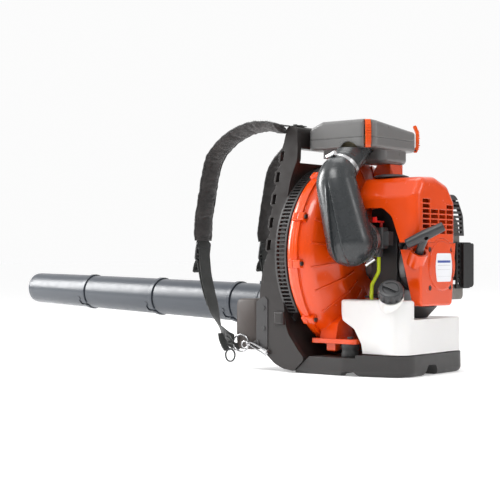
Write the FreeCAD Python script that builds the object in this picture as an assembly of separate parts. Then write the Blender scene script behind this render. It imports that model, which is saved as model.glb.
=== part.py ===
"""Backpack leaf blower, modelled as separate sub-parts.

Millimetres. The wearer faces -X, their left is -Y and +Z is up. The base
rests on z = 0, and the engine's crankshaft lies along X.
"""
import FreeCAD, Part
import math
import os

os.makedirs("parts", exist_ok=True)
V = FreeCAD.Vector

# ---- driving dimensions -------------------------------------------------
WALL_OUT = 150.0          # half width over the frame's side walls, low down
WALL_TOP = 113.0          # half width at the top of the frame
WALL_T = 12.0             # thickness of a side wall
FRAME_H = 481.0
PANEL_X = -101.0          # rear face of the back panel

FAN_Y = 5.0               # centre of the fan housing's outline
FAN_Z = 228.0
FAN_R = 188.0
FAN_FRONT = -72.0         # wearer's side of the fan housing
FAN_SPLIT = -44.0         # plane where its two halves meet
FAN_REAR = 10.0
FAN_FLAT_R = 116.0        # flat part of the housing's rear wall

CRANK_Z = 207.0           # crankshaft axis, at y = 0
SHAFT_R = 8.0
RUN_CLEAR = 0.05          # radial clearance of every running fit

STARTER_X = 165.0         # rear face of the engine covers
COVER_SPLIT_Z = 251.0     # seam between the starter cover and the engine cover
COVER_TOP = 375.0

TUBE_Y = 206.0            # the blower tube, on the wearer's right
TUBE_Z = 103.0
OUTLET_X = -26.0
TUBE_TILT = 1.84          # the tube rises a little toward the nozzle
TUBE_WALL = 2.2
FIT = 0.3                 # sleeve clearance of the twist-lock joints

HANDLE_X = -345.0         # throttle handle's clamp on the tube
FILTER_SPLIT = 453.0      # seam of the air filter box


# ---- small helpers ------------------------------------------------------
def box(x0, x1, y0, y1, z0, z1):
    return Part.makeBox(x1 - x0, y1 - y0, z1 - z0, V(x0, y0, z0))


def rod(p, q, r):
    p = V(*p)
    q = V(*q)
    return Part.makeCylinder(r, (q - p).Length, p, q - p)


def pipe(p, q, outer, inner):
    return rod(p, q, outer).cut(rod(p, q, inner))


def rounded(points, place):
    """Closed wire through corner points (a, b) or (a, b, radius)."""
    n = len(points)
    ends = []
    for i, point in enumerate(points):
        here = V(point[0], point[1], 0)
        radius = point[2] if len(point) > 2 else 0
        if radius == 0:
            ends.append((here, here, None))
            continue
        back = V(*points[i - 1][:2], 0) - here
        ahead = V(*points[(i + 1) % n][:2], 0) - here
        half = back.getAngle(ahead) / 2
        back.normalize()
        ahead.normalize()
        reach = radius / math.tan(half)
        middle = (back + ahead).normalize() * (radius / math.sin(half) - radius)
        ends.append((here + back * reach, here + ahead * reach, here + middle))
    edges = []
    for i, (start, stop, middle) in enumerate(ends):
        if middle is not None:
            edges.append(Part.Arc(place(start), place(middle), place(stop)).toShape())
        after = ends[(i + 1) % n][0]
        if (after - stop).Length > 1e-6:
            edges.append(Part.makeLine(place(stop), place(after)))
    return Part.Wire(edges)


def prism_x(points, x0, x1):
    """Outline given as (y, z), run along X."""
    wire = rounded(points, lambda v: V(x0, v.x, v.y))
    return Part.Face(wire).extrude(V(x1 - x0, 0, 0))


def prism_y(points, y0, y1):
    """Outline given as (x, z), run along Y."""
    wire = rounded(points, lambda v: V(v.x, y0, v.y))
    return Part.Face(wire).extrude(V(0, y1 - y0, 0))


def prism_z(points, z0, z1):
    """Outline given as (x, y), run along Z."""
    wire = rounded(points, lambda v: V(v.x, v.y, z0))
    return Part.Face(wire).extrude(V(0, 0, z1 - z0))


def turned_x(points, y, z):
    """Outline given as (x, radius), turned about the X line through (y, z)."""
    wire = rounded(points, lambda v: V(v.x, y, z + v.y))
    return Part.Face(wire).revolve(V(0, y, z), V(1, 0, 0), 360)


def turned(points, centre, axis):
    """Outline given as (radius, height), turned about axis through centre."""
    wire = rounded(points, lambda v: V(v.x, 0, v.y))
    solid = Part.Face(wire).revolve(V(0, 0, 0), V(0, 0, 1), 360)
    solid.Placement = FreeCAD.Placement(V(*centre), FreeCAD.Rotation(V(0, 0, 1), V(*axis)))
    return solid


def join(shapes):
    whole = shapes[0]
    if len(shapes) > 1:
        whole = whole.fuse(shapes[1:])
    return whole.removeSplitter()


def mirror_y(shape):
    return shape.mirror(V(0, 0, 0), V(0, 1, 0))


def moved(shape, dx, dy, dz):
    moved_copy = shape.copy()
    moved_copy.translate(V(dx, dy, dz))
    return moved_copy


def spin_x(shape, y, z, degrees):
    turned_copy = shape.copy()
    turned_copy.rotate(V(0, y, z), V(1, 0, 0), degrees)
    return turned_copy


def soften(shape, radius, pick):
    """Round the edges whose middle point passes the test."""
    edges = [e for e in shape.Edges if pick(e.valueAt((e.FirstParameter + e.LastParameter) / 2))]
    return shape.makeFillet(radius, edges)


def save(name, *solids):
    pieces = [s for solid in solids for s in solid.Solids]
    for piece in pieces:
        if not piece.isValid() or piece.Volume <= 0:
            print("BAD SOLID", name)
    shape = pieces[0] if len(pieces) == 1 else Part.makeCompound(pieces)
    shape.exportStep("parts/" + name + ".step")
    print(name, len(pieces), round(sum(p.Volume for p in pieces) / 1000, 1))


# ---- back frame and base ------------------------------------------------
FRONT_EDGE = [(-120, 481), (-123, 449), (-132, 394), (-137, 348), (-139, 303),
              (-138, 257), (-142, 235), (-150, 188), (-157, 162)]
WINDOW_Z = [247, 291, 337, 381, 422]
SEAM = [(-80.0, 0.0), (-41.0, 34.0)]      # slanted joint of frame and base


def front_x(z):
    for (xa, za), (xb, zb) in zip(FRONT_EDGE, FRONT_EDGE[1:]):
        if zb <= z <= za:
            return xa + (xb - xa) * (za - z) / (za - zb)
    return FRONT_EDGE[-1][0]


def ladder_edge():
    """Front edge of a side wall, stepped out at each window."""
    points = [(-118, 481, 6), (-123, 449)]
    for z in reversed(WINDOW_Z):
        x = front_x(z)
        points += [(x + 1, z + 15), (x - 4, z + 12), (x - 5, z - 10), (x + 2, z - 15)]
    points += [(-146, 214), (-153, 188, 60), (-158, 158, 20)]
    return points


def side_wall():
    low = [(-158, 62, 25), (-146, 36, 30), (-122, 16, 30), (-100, 7, 20), (-76, 4)]
    rear = [(-48, 28, 8), (-62, 42, 40), (-92, 80, 60), (-100, 140, 40), (-98, 237, 60),
            (-102, 335, 60), (-98, 374, 40), (-86, 414, 20), (-88, 440, 20), (-94, 481, 8)]
    plate = prism_y(ladder_edge() + low + rear, -170, -90)
    for z in WINDOW_Z:
        x = front_x(z)
        plate = plate.cut(prism_y([(x, z + 10), (x + 8, z + 11), (x + 7, z - 9), (x - 1, z - 10)],
                                  -175, -80))
    o = WALL_OUT
    t = WALL_T
    w = WALL_TOP
    slab = prism_x([(-o, 0), (-o, 240, 200), (-w, 485), (t - w, 485), (t - o, 240, 200),
                    (t - o, 0)], -200, 0)
    plate = plate.common(slab)
    boss = box(-119, -96, -o - 7, -o + 2, 92, 118)
    boss = soften(boss, 5, lambda p: p.y < -o - 6)
    return join([plate, boss])


def frame_rivet_holes(grow=0.0):
    pins = []
    for z in (84, 124):
        pins.append(rod((-148, -WALL_OUT - 4, z), (-148, -WALL_OUT + 8, z), 2.5 + grow))
    return pins


def back_frame():
    wall = side_wall()
    for pin in frame_rivet_holes():
        wall = wall.cut(pin)
    y = WALL_OUT - WALL_T + 1
    panel = prism_y([(-106, 410), (PANEL_X, 410), (PANEL_X, 95, 50), (-64, 27), (-49.6, 27),
                     (-76, 4), (-118, 14, 30), (-125, 46, 40), (-106, 130)], -y, y)
    panel = panel.cut(rod((-200, FAN_Y, FAN_Z), (0, FAN_Y, FAN_Z), 105))
    panel = panel.common(prism_x([(-y, 0), (-y, 240), (WALL_T - WALL_TOP, 485),
                                  (WALL_TOP - WALL_T, 485), (y, 240), (y, 0)], -200, 0))
    beam = box(-119, -92, -WALL_TOP - 2, WALL_TOP + 2, 437, FRAME_H)
    beam = soften(beam, 7, lambda p: abs(p.y) < 1)
    beam = beam.common(prism_x([(-WALL_OUT, 240), (-WALL_TOP, 485), (WALL_TOP, 485),
                                (WALL_OUT, 240)], -200, 0))
    ribs = []
    for side in (-1, 1):
        for y0 in (58, 92):
            ribs.append(box(-112, -105, side * y0 - 3, side * y0 + 3, 140, 405))
    frame = join([wall, mirror_y(wall), panel, beam] + ribs)
    frame = frame.cut(grille_holes())
    return frame


def grille_holes():
    """Four screw holes in the panel, behind the intake grille's ring."""
    holes = [rod((-115, FAN_Y, FAN_Z + 112), (-90, FAN_Y, FAN_Z + 112), 2.2)]
    return Part.makeCompound([spin_x(holes[0], FAN_Y, FAN_Z, a) for a in (45, 135, 225, 315)])


def base_outline(inset=0.0):
    i = inset
    return [(-90, -146 + i), (38, -146 + i, 60), (88, -132 + i, 60), (155 - i, -112 + i, 45),
            (155 - i, 100 - i, 32), (88, 132 - i, 60), (38, 146 - i, 60), (-90, 146 - i)]


def base_plate():
    body = prism_z(base_outline(), 0, 34)
    body = soften(body, 11, lambda p: p.z < 0.1 and p.x > -50)
    rim = prism_z(base_outline(), 33, 40).cut(prism_z(base_outline(7), 30, 45))
    rim = rim.cut(box(-100, 62, -200, 200, 30, 50))
    body = body.fuse(rim)
    for x0, x1 in ((-70, -6), (6, 62), (74, 145)):
        for y0, y1 in ((-124, -8), (8, 124)):
            if x1 == 145:
                y0 = max(y0, -100)
                y1 = min(y1, 88)
            body = body.cut(prism_z([(x0, y0, 8), (x1, y0, 8), (x1, y1, 8), (x0, y1, 8)], -1, 27))
    arch = prism_x([(-44, -1), (-32, 20, 8), (-4, 20, 8), (6, -1)], 90, 170)
    side_arch = prism_y([(28, -1), (36, 9, 5), (58, 9, 5), (66, -1)], -160, 160)
    body = body.cut(arch).cut(side_arch)
    body = body.cut(prism_y([(-130, -5), (SEAM[0][0] - 5, -5), (SEAM[0][0] + 1, 0),
                             (SEAM[1][0] + 1, 34), (SEAM[1][0] + 5, 40), (-130, 40)], -200, 200))
    for y in (-112, 112):
        body = body.cut(rod((32, y, -1), (32, y, 40), 3))
    return body


def hip_brackets():
    """Riveted side tabs that carry the hip pad and the strap loops."""
    tab = prism_y([(-166, 46, 6), (-138, 46, 4), (-138, 140, 4), (-146, 147, 4), (-166, 136, 6)],
                  -WALL_OUT - 1.5, -WALL_OUT)
    for pin in frame_rivet_holes():
        tab = tab.cut(pin)
    loop = prism_y([(-178, 44, 3), (-158, 44, 3), (-158, 50), (-160, 62, 3), (-178, 54, 3)],
                   -WALL_OUT - 3, -WALL_OUT - 1.5)
    loop = loop.cut(prism_y([(-174, 47, 1), (-163, 48, 1), (-163, 56, 1), (-174, 51, 1)],
                            -WALL_OUT - 5, -WALL_OUT - 1))
    tab = join([tab, loop])
    return [tab, mirror_y(tab)]


def rivets():
    heads = []
    for pin in frame_rivet_holes():
        centre = pin.CenterOfMass
        face = -WALL_OUT - 1.5
        head = rod((centre.x, face - 1.3, centre.z), (centre.x, face, centre.z), 4.5)
        shank = rod((centre.x, face, centre.z), (centre.x, face + 9, centre.z), 2.5)
        heads.append(join([head, shank]))
    return heads + [mirror_y(h) for h in heads]


# ---- intake grille and fan ----------------------------------------------
GRILLE_FROM = -38.0       # the ring of bars spans these angles about the fan
GRILLE_TO = 218.0


def sector(ro, ri, x0, x1, a0, a1):
    """Ring sector about the fan housing's centre; 0 degrees is +Y, 90 is +Z."""
    ring = pipe((x0, FAN_Y, FAN_Z), (x1, FAN_Y, FAN_Z), ro, ri)
    corner = [(FAN_Y, FAN_Z)]
    steps = 8
    for i in range(steps + 1):
        a = math.radians(a0 + (a1 - a0) * i / steps)
        corner.append((FAN_Y + 3 * ro * math.cos(a), FAN_Z + 3 * ro * math.sin(a)))
    return ring.common(prism_x(corner, x0 - 1, x1 + 1))


def intake_grille():
    ends = [sector(180, 172, PANEL_X, PANEL_X + 4, GRILLE_FROM, GRILLE_TO),
            sector(180, 168, -78, -74, GRILLE_FROM, GRILLE_TO)]
    bars = []
    count = 98
    for i in range(count + 1):
        angle = GRILLE_FROM + (GRILLE_TO - GRILLE_FROM) * i / count
        bar = box(PANEL_X + 1, -75, FAN_Y + 173, FAN_Y + 180, FAN_Z - 1.4, FAN_Z + 1.4)
        bars.append(spin_x(bar, FAN_Y, FAN_Z, angle))
    feet = []
    for a in (45, 135, 225, 315):
        foot = box(PANEL_X, PANEL_X + 4, FAN_Y - 7, FAN_Y + 7, FAN_Z + 104, FAN_Z + 176)
        foot = foot.cut(rod((-110, FAN_Y, FAN_Z + 112), (-90, FAN_Y, FAN_Z + 112), 2.2))
        feet.append(spin_x(foot, FAN_Y, FAN_Z, a))
    inner = pipe((PANEL_X, FAN_Y, FAN_Z), (PANEL_X + 4, FAN_Y, FAN_Z), 110, 104)
    for a in (45, 135, 225, 315):
        hole = rod((-110, FAN_Y, FAN_Z + 112), (-90, FAN_Y, FAN_Z + 112), 2.2)
        inner = inner.cut(spin_x(hole, FAN_Y, FAN_Z, a))
    grille = join(ends + bars + feet + [inner])
    wall = side_wall()
    grille = grille.cut(box(PANEL_X, PANEL_X + 1, -140, 140, 90, 109))
    return grille.cut(wall).cut(mirror_y(wall))


def grille_screws():
    screw = join([rod((-112, FAN_Y, FAN_Z + 112), (PANEL_X + 4, FAN_Y, FAN_Z + 112), 2.2),
                  rod((PANEL_X + 4, FAN_Y, FAN_Z + 112), (PANEL_X + 6.5, FAN_Y, FAN_Z + 112), 4)])
    return [spin_x(screw, FAN_Y, FAN_Z, a) for a in (45, 135, 225, 315)]


CLIP_ANGLES = [10, 50, 90, 128, 158, 185, 220]


def clip_boss(x0, x1):
    boss = box(x0, x1, FAN_Y + 184, FAN_Y + 199, FAN_Z - 8, FAN_Z + 8)
    boss = soften(boss, 3, lambda p: p.y > FAN_Y + 198)
    return boss


def clip_hole():
    return rod((-100, FAN_Y + 193, FAN_Z), (0, FAN_Y + 193, FAN_Z), 2.2)


def fan_housing_front():
    shell = turned_x([(FAN_FRONT, 96), (FAN_FRONT, FAN_R, 16), (-50, FAN_R), (-50, FAN_R + 5),
                      (FAN_SPLIT, FAN_R + 5), (FAN_SPLIT, FAN_R - 4),
                      (FAN_FRONT + 4, FAN_R - 4, 12), (FAN_FRONT + 4, 100), (-62, 100),
                      (-62, 96)], FAN_Y, FAN_Z)
    bosses = [spin_x(clip_boss(-56, FAN_SPLIT), FAN_Y, FAN_Z, a) for a in CLIP_ANGLES]
    shell = join([shell] + bosses)
    shell = shell.cut(rod((-60, FAN_Y, FAN_Z), (FAN_SPLIT + 1, FAN_Y, FAN_Z), FAN_R - 4))
    for a in CLIP_ANGLES:
        shell = shell.cut(spin_x(clip_hole(), FAN_Y, FAN_Z, a))
    return shell.cut(outlet_corner()).cut(outlet_bore(44.2, 90)).cut(outlet_flange(0.2))


def outlet_corner():
    """Space kept free at the lower right, where the outlet elbow bolts on."""
    return box(-200, 200, 152, 300, -10, 172)


def outlet_bore(radius, y0=115):
    return rod((OUTLET_X, y0, TUBE_Z), (OUTLET_X, 153, TUBE_Z), radius)


def outlet_flange(grow=0.0):
    x0 = OUTLET_X - 47 - grow
    x1 = OUTLET_X + 47 + grow
    z0 = TUBE_Z - 47 - grow
    z1 = TUBE_Z + 47 + grow
    return prism_y([(x0, z0, 14), (x1, z0, 14), (x1, z1, 14), (x0, z1, 14)], 147 - grow, 152)


def fan_housing_rear():
    shell = turned_x([(FAN_SPLIT, FAN_R - 4), (FAN_SPLIT, FAN_R + 5), (-38, FAN_R + 5),
                      (-38, FAN_R), (-18, FAN_R, 28), (FAN_REAR, FAN_FLAT_R, 30), (FAN_REAR, 40),
                      (FAN_REAR - 4, 40), (FAN_REAR - 4, FAN_FLAT_R - 0.8, 26),
                      (-20.7, FAN_R - 4, 24)], FAN_Y, FAN_Z)
    plate = prism_x([(-58, 150, 20), (-58, 272, 30), (58, 272, 30), (58, 150, 20)],
                    FAN_REAR - 4, FAN_REAR)
    bosses = [spin_x(clip_boss(FAN_SPLIT, -28), FAN_Y, FAN_Z, a) for a in CLIP_ANGLES]
    ribs = []
    for a in range(0, 360, 15):
        rib = prism_y([(FAN_REAR - 2, FAN_Z + 78), (FAN_REAR + 3, FAN_Z + 82),
                       (FAN_REAR + 3, FAN_Z + FAN_FLAT_R + 2, 10), (-13, FAN_Z + FAN_R - 8),
                       (-19, FAN_Z + FAN_R - 12), (FAN_REAR - 3, FAN_Z + FAN_FLAT_R - 3)],
                      FAN_Y - 1.6, FAN_Y + 1.6)
        ribs.append(spin_x(rib, FAN_Y, FAN_Z, a + 7.5))
    shell = join([shell, plate] + bosses + ribs + [foot_bracket(), mirror_y(foot_bracket())])
    for a in CLIP_ANGLES:
        shell = shell.cut(spin_x(clip_hole(), FAN_Y, FAN_Z, a))
    shell = shell.cut(outlet_corner())
    shell = join([shell, outlet_bore(44).common(box(-200, 200, 0, 152, 0, 300)),
                  outlet_flange()])
    shell = shell.cut(outlet_bore(40, 110)).cut(rod((0, 0, CRANK_Z), (60, 0, CRANK_Z), 26))
    for y in (-112, 112):
        shell = shell.cut(rod((32, y, 50), (32, y, 80), 3))
    for x in (OUTLET_X - 38, OUTLET_X + 38):
        for z in (TUBE_Z - 38, TUBE_Z + 38):
            shell = shell.cut(rod((x, 140, z), (x, 153, z), 2.5))
    return shell


def foot_bracket():
    foot = prism_z([(-50, -127, 6), (52, -127, 10), (52, -78), (-50, -78)], 59, 68)
    post = prism_x([(-120, 67), (-112, 98, 8), (-80, 120), (-60, 67)], -34, 4)
    lug = box(-16, 4, -122, -106, 44, 60)
    lug = soften(lug, 3, lambda p: p.z < 45)
    whole = join([foot, post, lug])
    return whole.cut(rod((-100, FAN_Y, FAN_Z), (FAN_SPLIT, FAN_Y, FAN_Z), FAN_R + 12))


def housing_screws():
    screws = []
    for a in CLIP_ANGLES:
        shank = rod((-56, FAN_Y + 193, FAN_Z), (-30, FAN_Y + 193, FAN_Z), 2.2)
        head = rod((-28, FAN_Y + 193, FAN_Z), (-25, FAN_Y + 193, FAN_Z), 4.2)
        neck = rod((-30, FAN_Y + 193, FAN_Z), (-28, FAN_Y + 193, FAN_Z), 2.2)
        screws.append(spin_x(join([shank, neck, head]), FAN_Y, FAN_Z, a))
    return screws


def av_mounts():
    """Rubber vibration mounts between the base and the housing's feet."""
    mounts = []
    for y in (-112, 112):
        outline = [(3, 34), (17, 34, 2), (17, 40, 2), (15.5, 47, 8), (17, 53, 2), (17, 59, 2), (3, 59)]
        mounts.append(turned(outline, (32, y, 0), (0, 0, 1)))
    for y, z in ((-62, 345), (62, 345)):
        mounts.append(rod((PANEL_X, y, z), (FAN_FRONT, y, z), 12))
    return mounts


def av_screws():
    screws = []
    for y in (-112, 112):
        screws.append(join([rod((32, y, 24), (32, y, 72), 3), rod((32, y, 68), (32, y, 72), 6),
                            rod((32, y, 22), (32, y, 27), 6)]))
    return screws


# ---- engine inside the covers -------------------------------------------
CYL_X = 66.0              # cylinder axis
BORE_R = 20.0
THROW = 16.0              # crank radius, so the stroke is twice this
ROD_LENGTH = 73.0


def fan_impeller():
    plate = pipe((-6, 0, CRANK_Z), (-2, 0, CRANK_Z), 110, SHAFT_R + RUN_CLEAR)
    hub = pipe((-30, 0, CRANK_Z), (-2, 0, CRANK_Z), 22, SHAFT_R + RUN_CLEAR)
    blades = []
    for i in range(16):
        blade = prism_x([(0, CRANK_Z + 52), (8, CRANK_Z + 76, 40), (28, CRANK_Z + 104),
                         (25, CRANK_Z + 106), (5, CRANK_Z + 78, 40), (-3, CRANK_Z + 54)], -52, -5)
        blades.append(spin_x(blade, 0, CRANK_Z, 22.5 * i))
    return join([plate, hub] + blades)


def crankshaft():
    parts = [rod((-36, 0, CRANK_Z), (50, 0, CRANK_Z), SHAFT_R),
             rod((82, 0, CRANK_Z), (119, 0, CRANK_Z), SHAFT_R),
             rod((-40, 0, CRANK_Z), (-30.2, 0, CRANK_Z), 12)]
    for x in (50, 75):
        web = rod((x, 0, CRANK_Z), (x + 7, 0, CRANK_Z), 28)
        web = web.cut(box(x - 1, x + 8, 12, 40, CRANK_Z + 4, CRANK_Z + 40))
        parts.append(web.cut(box(x - 1, x + 8, -40, -12, CRANK_Z + 4, CRANK_Z + 40)))
    # the webs stay one piece with the shafts; the crank pin is on the rod
    front = join([parts[0], parts[2], parts[3]])
    rear = join([parts[1], parts[4]])
    return [front, rear]


def crankcase():
    case = prism_x([(-38, 160, 14), (-38, 244, 6), (38, 244, 6), (38, 160, 14)], 34, 96)
    neck = rod((FAN_REAR, 0, CRANK_Z), (34, 0, CRANK_Z), 30)
    foot = prism_y([(40, 128, 3), (88, 128, 3), (96, 164), (34, 164)], -20, 20)
    case = join([case, neck, foot])
    case = case.cut(rod((44, 0, CRANK_Z), (84, 0, CRANK_Z), 31))
    case = case.cut(rod((5, 0, CRANK_Z), (100, 0, CRANK_Z), SHAFT_R + RUN_CLEAR))
    return case.cut(rod((CYL_X, 0, CRANK_Z), (CYL_X, 0, 250), BORE_R + 1))


def cylinder():
    barrel = rod((CYL_X, 0, 244), (CYL_X, 0, 346), 27)
    parts = [barrel, prism_z([(38, -34, 5), (94, -34, 5), (94, 34, 5), (38, 34, 5)], 244, 250)]
    for i in range(9):
        z = 274 + 8.5 * i
        half = 42 if 300 < z < 330 else 36
        parts.append(prism_z([(38, -half, 8), (94, -half, 8), (94, half, 8), (38, half, 8)],
                             z, z + 2.4))
    parts.append(box(CYL_X - 18, CYL_X + 18, -46, 0, 252, 272))
    parts.append(box(CYL_X - 18, CYL_X + 18, 0, 52, 264, 296))
    body = join(parts)
    body = body.cut(rod((CYL_X, 0, 240), (CYL_X, 0, 326), BORE_R))
    body = body.cut(rod((CYL_X, -50, 262), (CYL_X, 0, 262), 8))
    body = body.cut(rod((CYL_X, 0, 280), (CYL_X, 60, 280), 9))
    return body.cut(rod((CYL_X, 0, 320), (CYL_X, 0, 350), 6))


def piston():
    top = 322
    pin_z = CRANK_Z + THROW + ROD_LENGTH
    body = rod((CYL_X, 0, top - 36), (CYL_X, 0, top), BORE_R - RUN_CLEAR)
    body = body.cut(rod((CYL_X, 0, top - 40), (CYL_X, 0, top - 5), 16.5))
    return body.cut(rod((CYL_X - 18, 0, pin_z), (CYL_X + 18, 0, pin_z), 4))


def connecting_rod():
    big = CRANK_Z + THROW
    small = big + ROD_LENGTH
    link = join([rod((60, 0, big), (72, 0, big), 9.5), rod((61, 0, small), (71, 0, small), 7.5),
                 box(63, 69, -4.5, 4.5, big, small)])
    link = link.cut(rod((50, 0, big), (80, 0, big), 5 + RUN_CLEAR))
    return link.cut(rod((40, 0, small), (90, 0, small), 4 + RUN_CLEAR))


def crank_pins():
    """Crank pin and wrist pin. The crank pin stays clear of the webs."""
    big = CRANK_Z + THROW
    small = big + ROD_LENGTH
    return [rod((57.3, 0, big), (74.7, 0, big), 5), rod((CYL_X - 18, 0, small),
                                                        (CYL_X + 18, 0, small), 4)]


def flywheel():
    rim = turned_x([(100, SHAFT_R + RUN_CLEAR), (100, 50, 2), (114, 50, 2), (114, 42),
                    (106, 40, 2), (106, 22, 2), (117, 20), (117, SHAFT_R + RUN_CLEAR)], 0, CRANK_Z)
    fins = []
    for i in range(14):
        fin = box(105, 114, -1.2, 1.2, CRANK_Z + 21, CRANK_Z + 43)
        fins.append(spin_x(fin, 0, CRANK_Z, 360 / 14 * i))
    return join([rim] + fins)


def ignition_coil():
    return join([box(100, 113, -24, 24, 262, 280), box(100, 113, -24, -14, 258.5, 264),
                 box(100, 113, 14, 24, 258.5, 264)])


def spark_plug():
    return join([rod((CYL_X, 0, 326), (CYL_X, 0, 346), 6), rod((CYL_X, 0, 346), (CYL_X, 0, 353), 9),
                 rod((CYL_X, 0, 353), (CYL_X, 0, 359), 4)])


def spark_plug_boot():
    terminal = rod((CYL_X, 0, 350), (CYL_X, 0, 359), 4)
    boot = rod((CYL_X, 0, 354), (CYL_X, 0, 362), 9).cut(terminal)
    lead = sweep([(104, 0, 280), (104, 0, 358), (CYL_X + 4, 0, 358)], [14], 3)
    return join([boot, lead.cut(terminal)])


def sweep(points, radii, r, inner=0.0):
    """Round tube along straight runs joined by tangent arcs."""
    pts = [V(*p) for p in points]
    edges = []
    start = pts[0]
    for i, radius in enumerate(radii):
        here = pts[i + 1]
        back = (pts[i] - here).normalize()
        ahead = (pts[i + 2] - here).normalize()
        half = back.getAngle(ahead) / 2
        reach = radius / math.tan(half)
        middle = (back + ahead).normalize() * (radius / math.sin(half) - radius)
        edges.append(Part.makeLine(start, here + back * reach))
        edges.append(Part.Arc(here + back * reach, here + middle, here + ahead * reach).toShape())
        start = here + ahead * reach
    edges.append(Part.makeLine(start, pts[-1]))
    path = Part.Wire(edges)
    heading = (pts[1] - pts[0]).normalize()
    solid = path.makePipeShell([Part.Wire(Part.makeCircle(r, pts[0], heading))], True, True)
    if inner:
        hole = path.makePipeShell([Part.Wire(Part.makeCircle(inner, pts[0], heading))], True, True)
        solid = solid.cut(hole)
    return solid


def engine_baffle():
    """Dark wall behind the carburettor bay, pierced by the intake port."""
    wall = prism_y([(40, 146, 6), (98, 146, 6), (98, 316, 6), (40, 316, 6)], -52, -49)
    floor = prism_y([(40, 146), (96, 146), (96, 150), (40, 150)], -76, -50)
    wall = join([wall, floor])
    return wall.cut(box(CYL_X - 19, CYL_X + 19, -60, -40, 251, 273))


def intake_manifold():
    body = join([box(CYL_X - 18, CYL_X + 18, -50, -46, 251.5, 272.5),
                 rod((CYL_X, -64, 262), (CYL_X, -46, 262), 10.4)])
    return body.cut(rod((CYL_X, -70, 262), (CYL_X, -40, 262), 8))


DUCT_X = 53.0             # lower end of the intake duct, facing the engine
DUCT_Z = 253.0


def carburetor():
    body = box(CYL_X - 22, CYL_X + 22, -86, -64, 240, 280)
    body = soften(body, 3, lambda p: True)
    bowl = rod((CYL_X, -76, 224), (CYL_X, -76, 242), 14)
    horn = rod((DUCT_X, -108, DUCT_Z), (DUCT_X, -86, DUCT_Z), 34.6)
    pump = box(CYL_X + 20, CYL_X + 34, -84, -68, 246, 272)
    whole = join([body, bowl, horn, pump])
    whole = whole.cut(rod((DUCT_X, -109, DUCT_Z), (DUCT_X, -90, DUCT_Z), 32))
    whole = whole.cut(rod((CYL_X, -92, 262), (CYL_X, -63, 262), 8))
    return whole.cut(rod((CYL_X + 8, -70, 270), (CYL_X + 8, -70, 296), 3 + RUN_CLEAR))


def choke_lever():
    """Red lever on top of the carburettor, turning about a vertical pin."""
    pin = rod((CYL_X + 8, -70, 272), (CYL_X + 8, -70, 292), 3)
    arm = prism_z([(CYL_X + 3, -65, 4), (CYL_X + 13, -65, 4), (CYL_X + 18, -102, 2),
                   (CYL_X + 12, -102, 2)], 289, 292.5)
    tab = prism_z([(CYL_X + 10, -103, 1), (CYL_X + 19, -103, 1), (CYL_X + 19, -99.5, 1),
                   (CYL_X + 10, -99.5, 1)], 289, 299)
    return join([pin, arm, tab])


# ---- orange covers ------------------------------------------------------
def cover_outline(inset=0.0):
    i = inset
    r = max(14 - i, 2)
    return [(-92 + i, COVER_SPLIT_Z), (-92 + i, 336 - i / 2, r), (-66 + i / 2, 374 - i, 24),
            (-16, 376 - i, 30), (28 - i / 2, 362 - i, 24), (54 - i, 330 - i / 2, r + 4),
            (54 - i, COVER_SPLIT_Z)]


def engine_cover():
    body = prism_x(cover_outline(), 36, STARTER_X)
    corner = prism_z([(STARTER_X - 22, -93), (STARTER_X + 1, -93), (STARTER_X + 1, -70),
                      (STARTER_X, -70, 0), (STARTER_X, -92, 21.9), (STARTER_X - 22, -92)], 240, 400)
    body = soften(body, 15, lambda p: p.x > STARTER_X - 0.1 and p.z > 340)
    body = body.cut(corner)
    body = body.cut(prism_x(cover_outline(3.5), 30, STARTER_X - 14))
    body = body.cut(prism_x([(-68, 240), (-68, 330, 10), (-50, 354, 16), (10, 352, 16),
                             (46, 326, 10), (46, 240)], 100, STARTER_X - 3.5))
    cut_out = prism_y([(30, 240), (30, 316), (92, 316, 14), (112, 300, 20), (131, 248), (133, 240)],
                      -100, -80)
    body = body.cut(cut_out)
    columns = [(-68, -43, 336), (-39, -13, 322), (-9, 14, 322), (18, 42, 326)]
    for y0, y1, top in columns:
        z = 268
        while z + 7 <= top:
            body = body.cut(box(STARTER_X - 6, STARTER_X + 2, y0, y1, z, z + 7))
            z = z + 9.6
    body = body.cut(soften(box(128, 150, -34, -4, 366, 380), 3, lambda p: abs(p.z - 373) < 1))
    body = body.cut(rod((130, 0, CRANK_Z), (170, 0, CRANK_Z), 52.6))
    body = body.cut(box(CYL_X - 22, CYL_X + 22, 44, 60, 258, 302))
    return body.cut(duct_body(-2))


def cover_cap():
    return turned([(0, 0), (33, 0), (35, 2.5, 1), (24, 6, 12), (0, 7.5)], (72, -32, 376), (0, 0, 1))


PULL = V(0.507, -0.327, 0.797).normalize()   # direction the starter rope is pulled
GUIDE = V(158, -72, 228)                     # where the rope leaves the cover


def along(centre, axis, distance):
    p = centre + axis * distance
    return (p.x, p.y, p.z)


def starter_outline(inset=0.0):
    i = inset
    return [(-76 + i, COVER_SPLIT_Z - 0.5), (-73 + i, 132 + i, 9), (39 - i, 131 + i, 9),
            (54 - i, COVER_SPLIT_Z - 0.5)]


STARTER_SCREWS = [(-43, 238), (32, 238), (-42, 166), (31, 166)]


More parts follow.
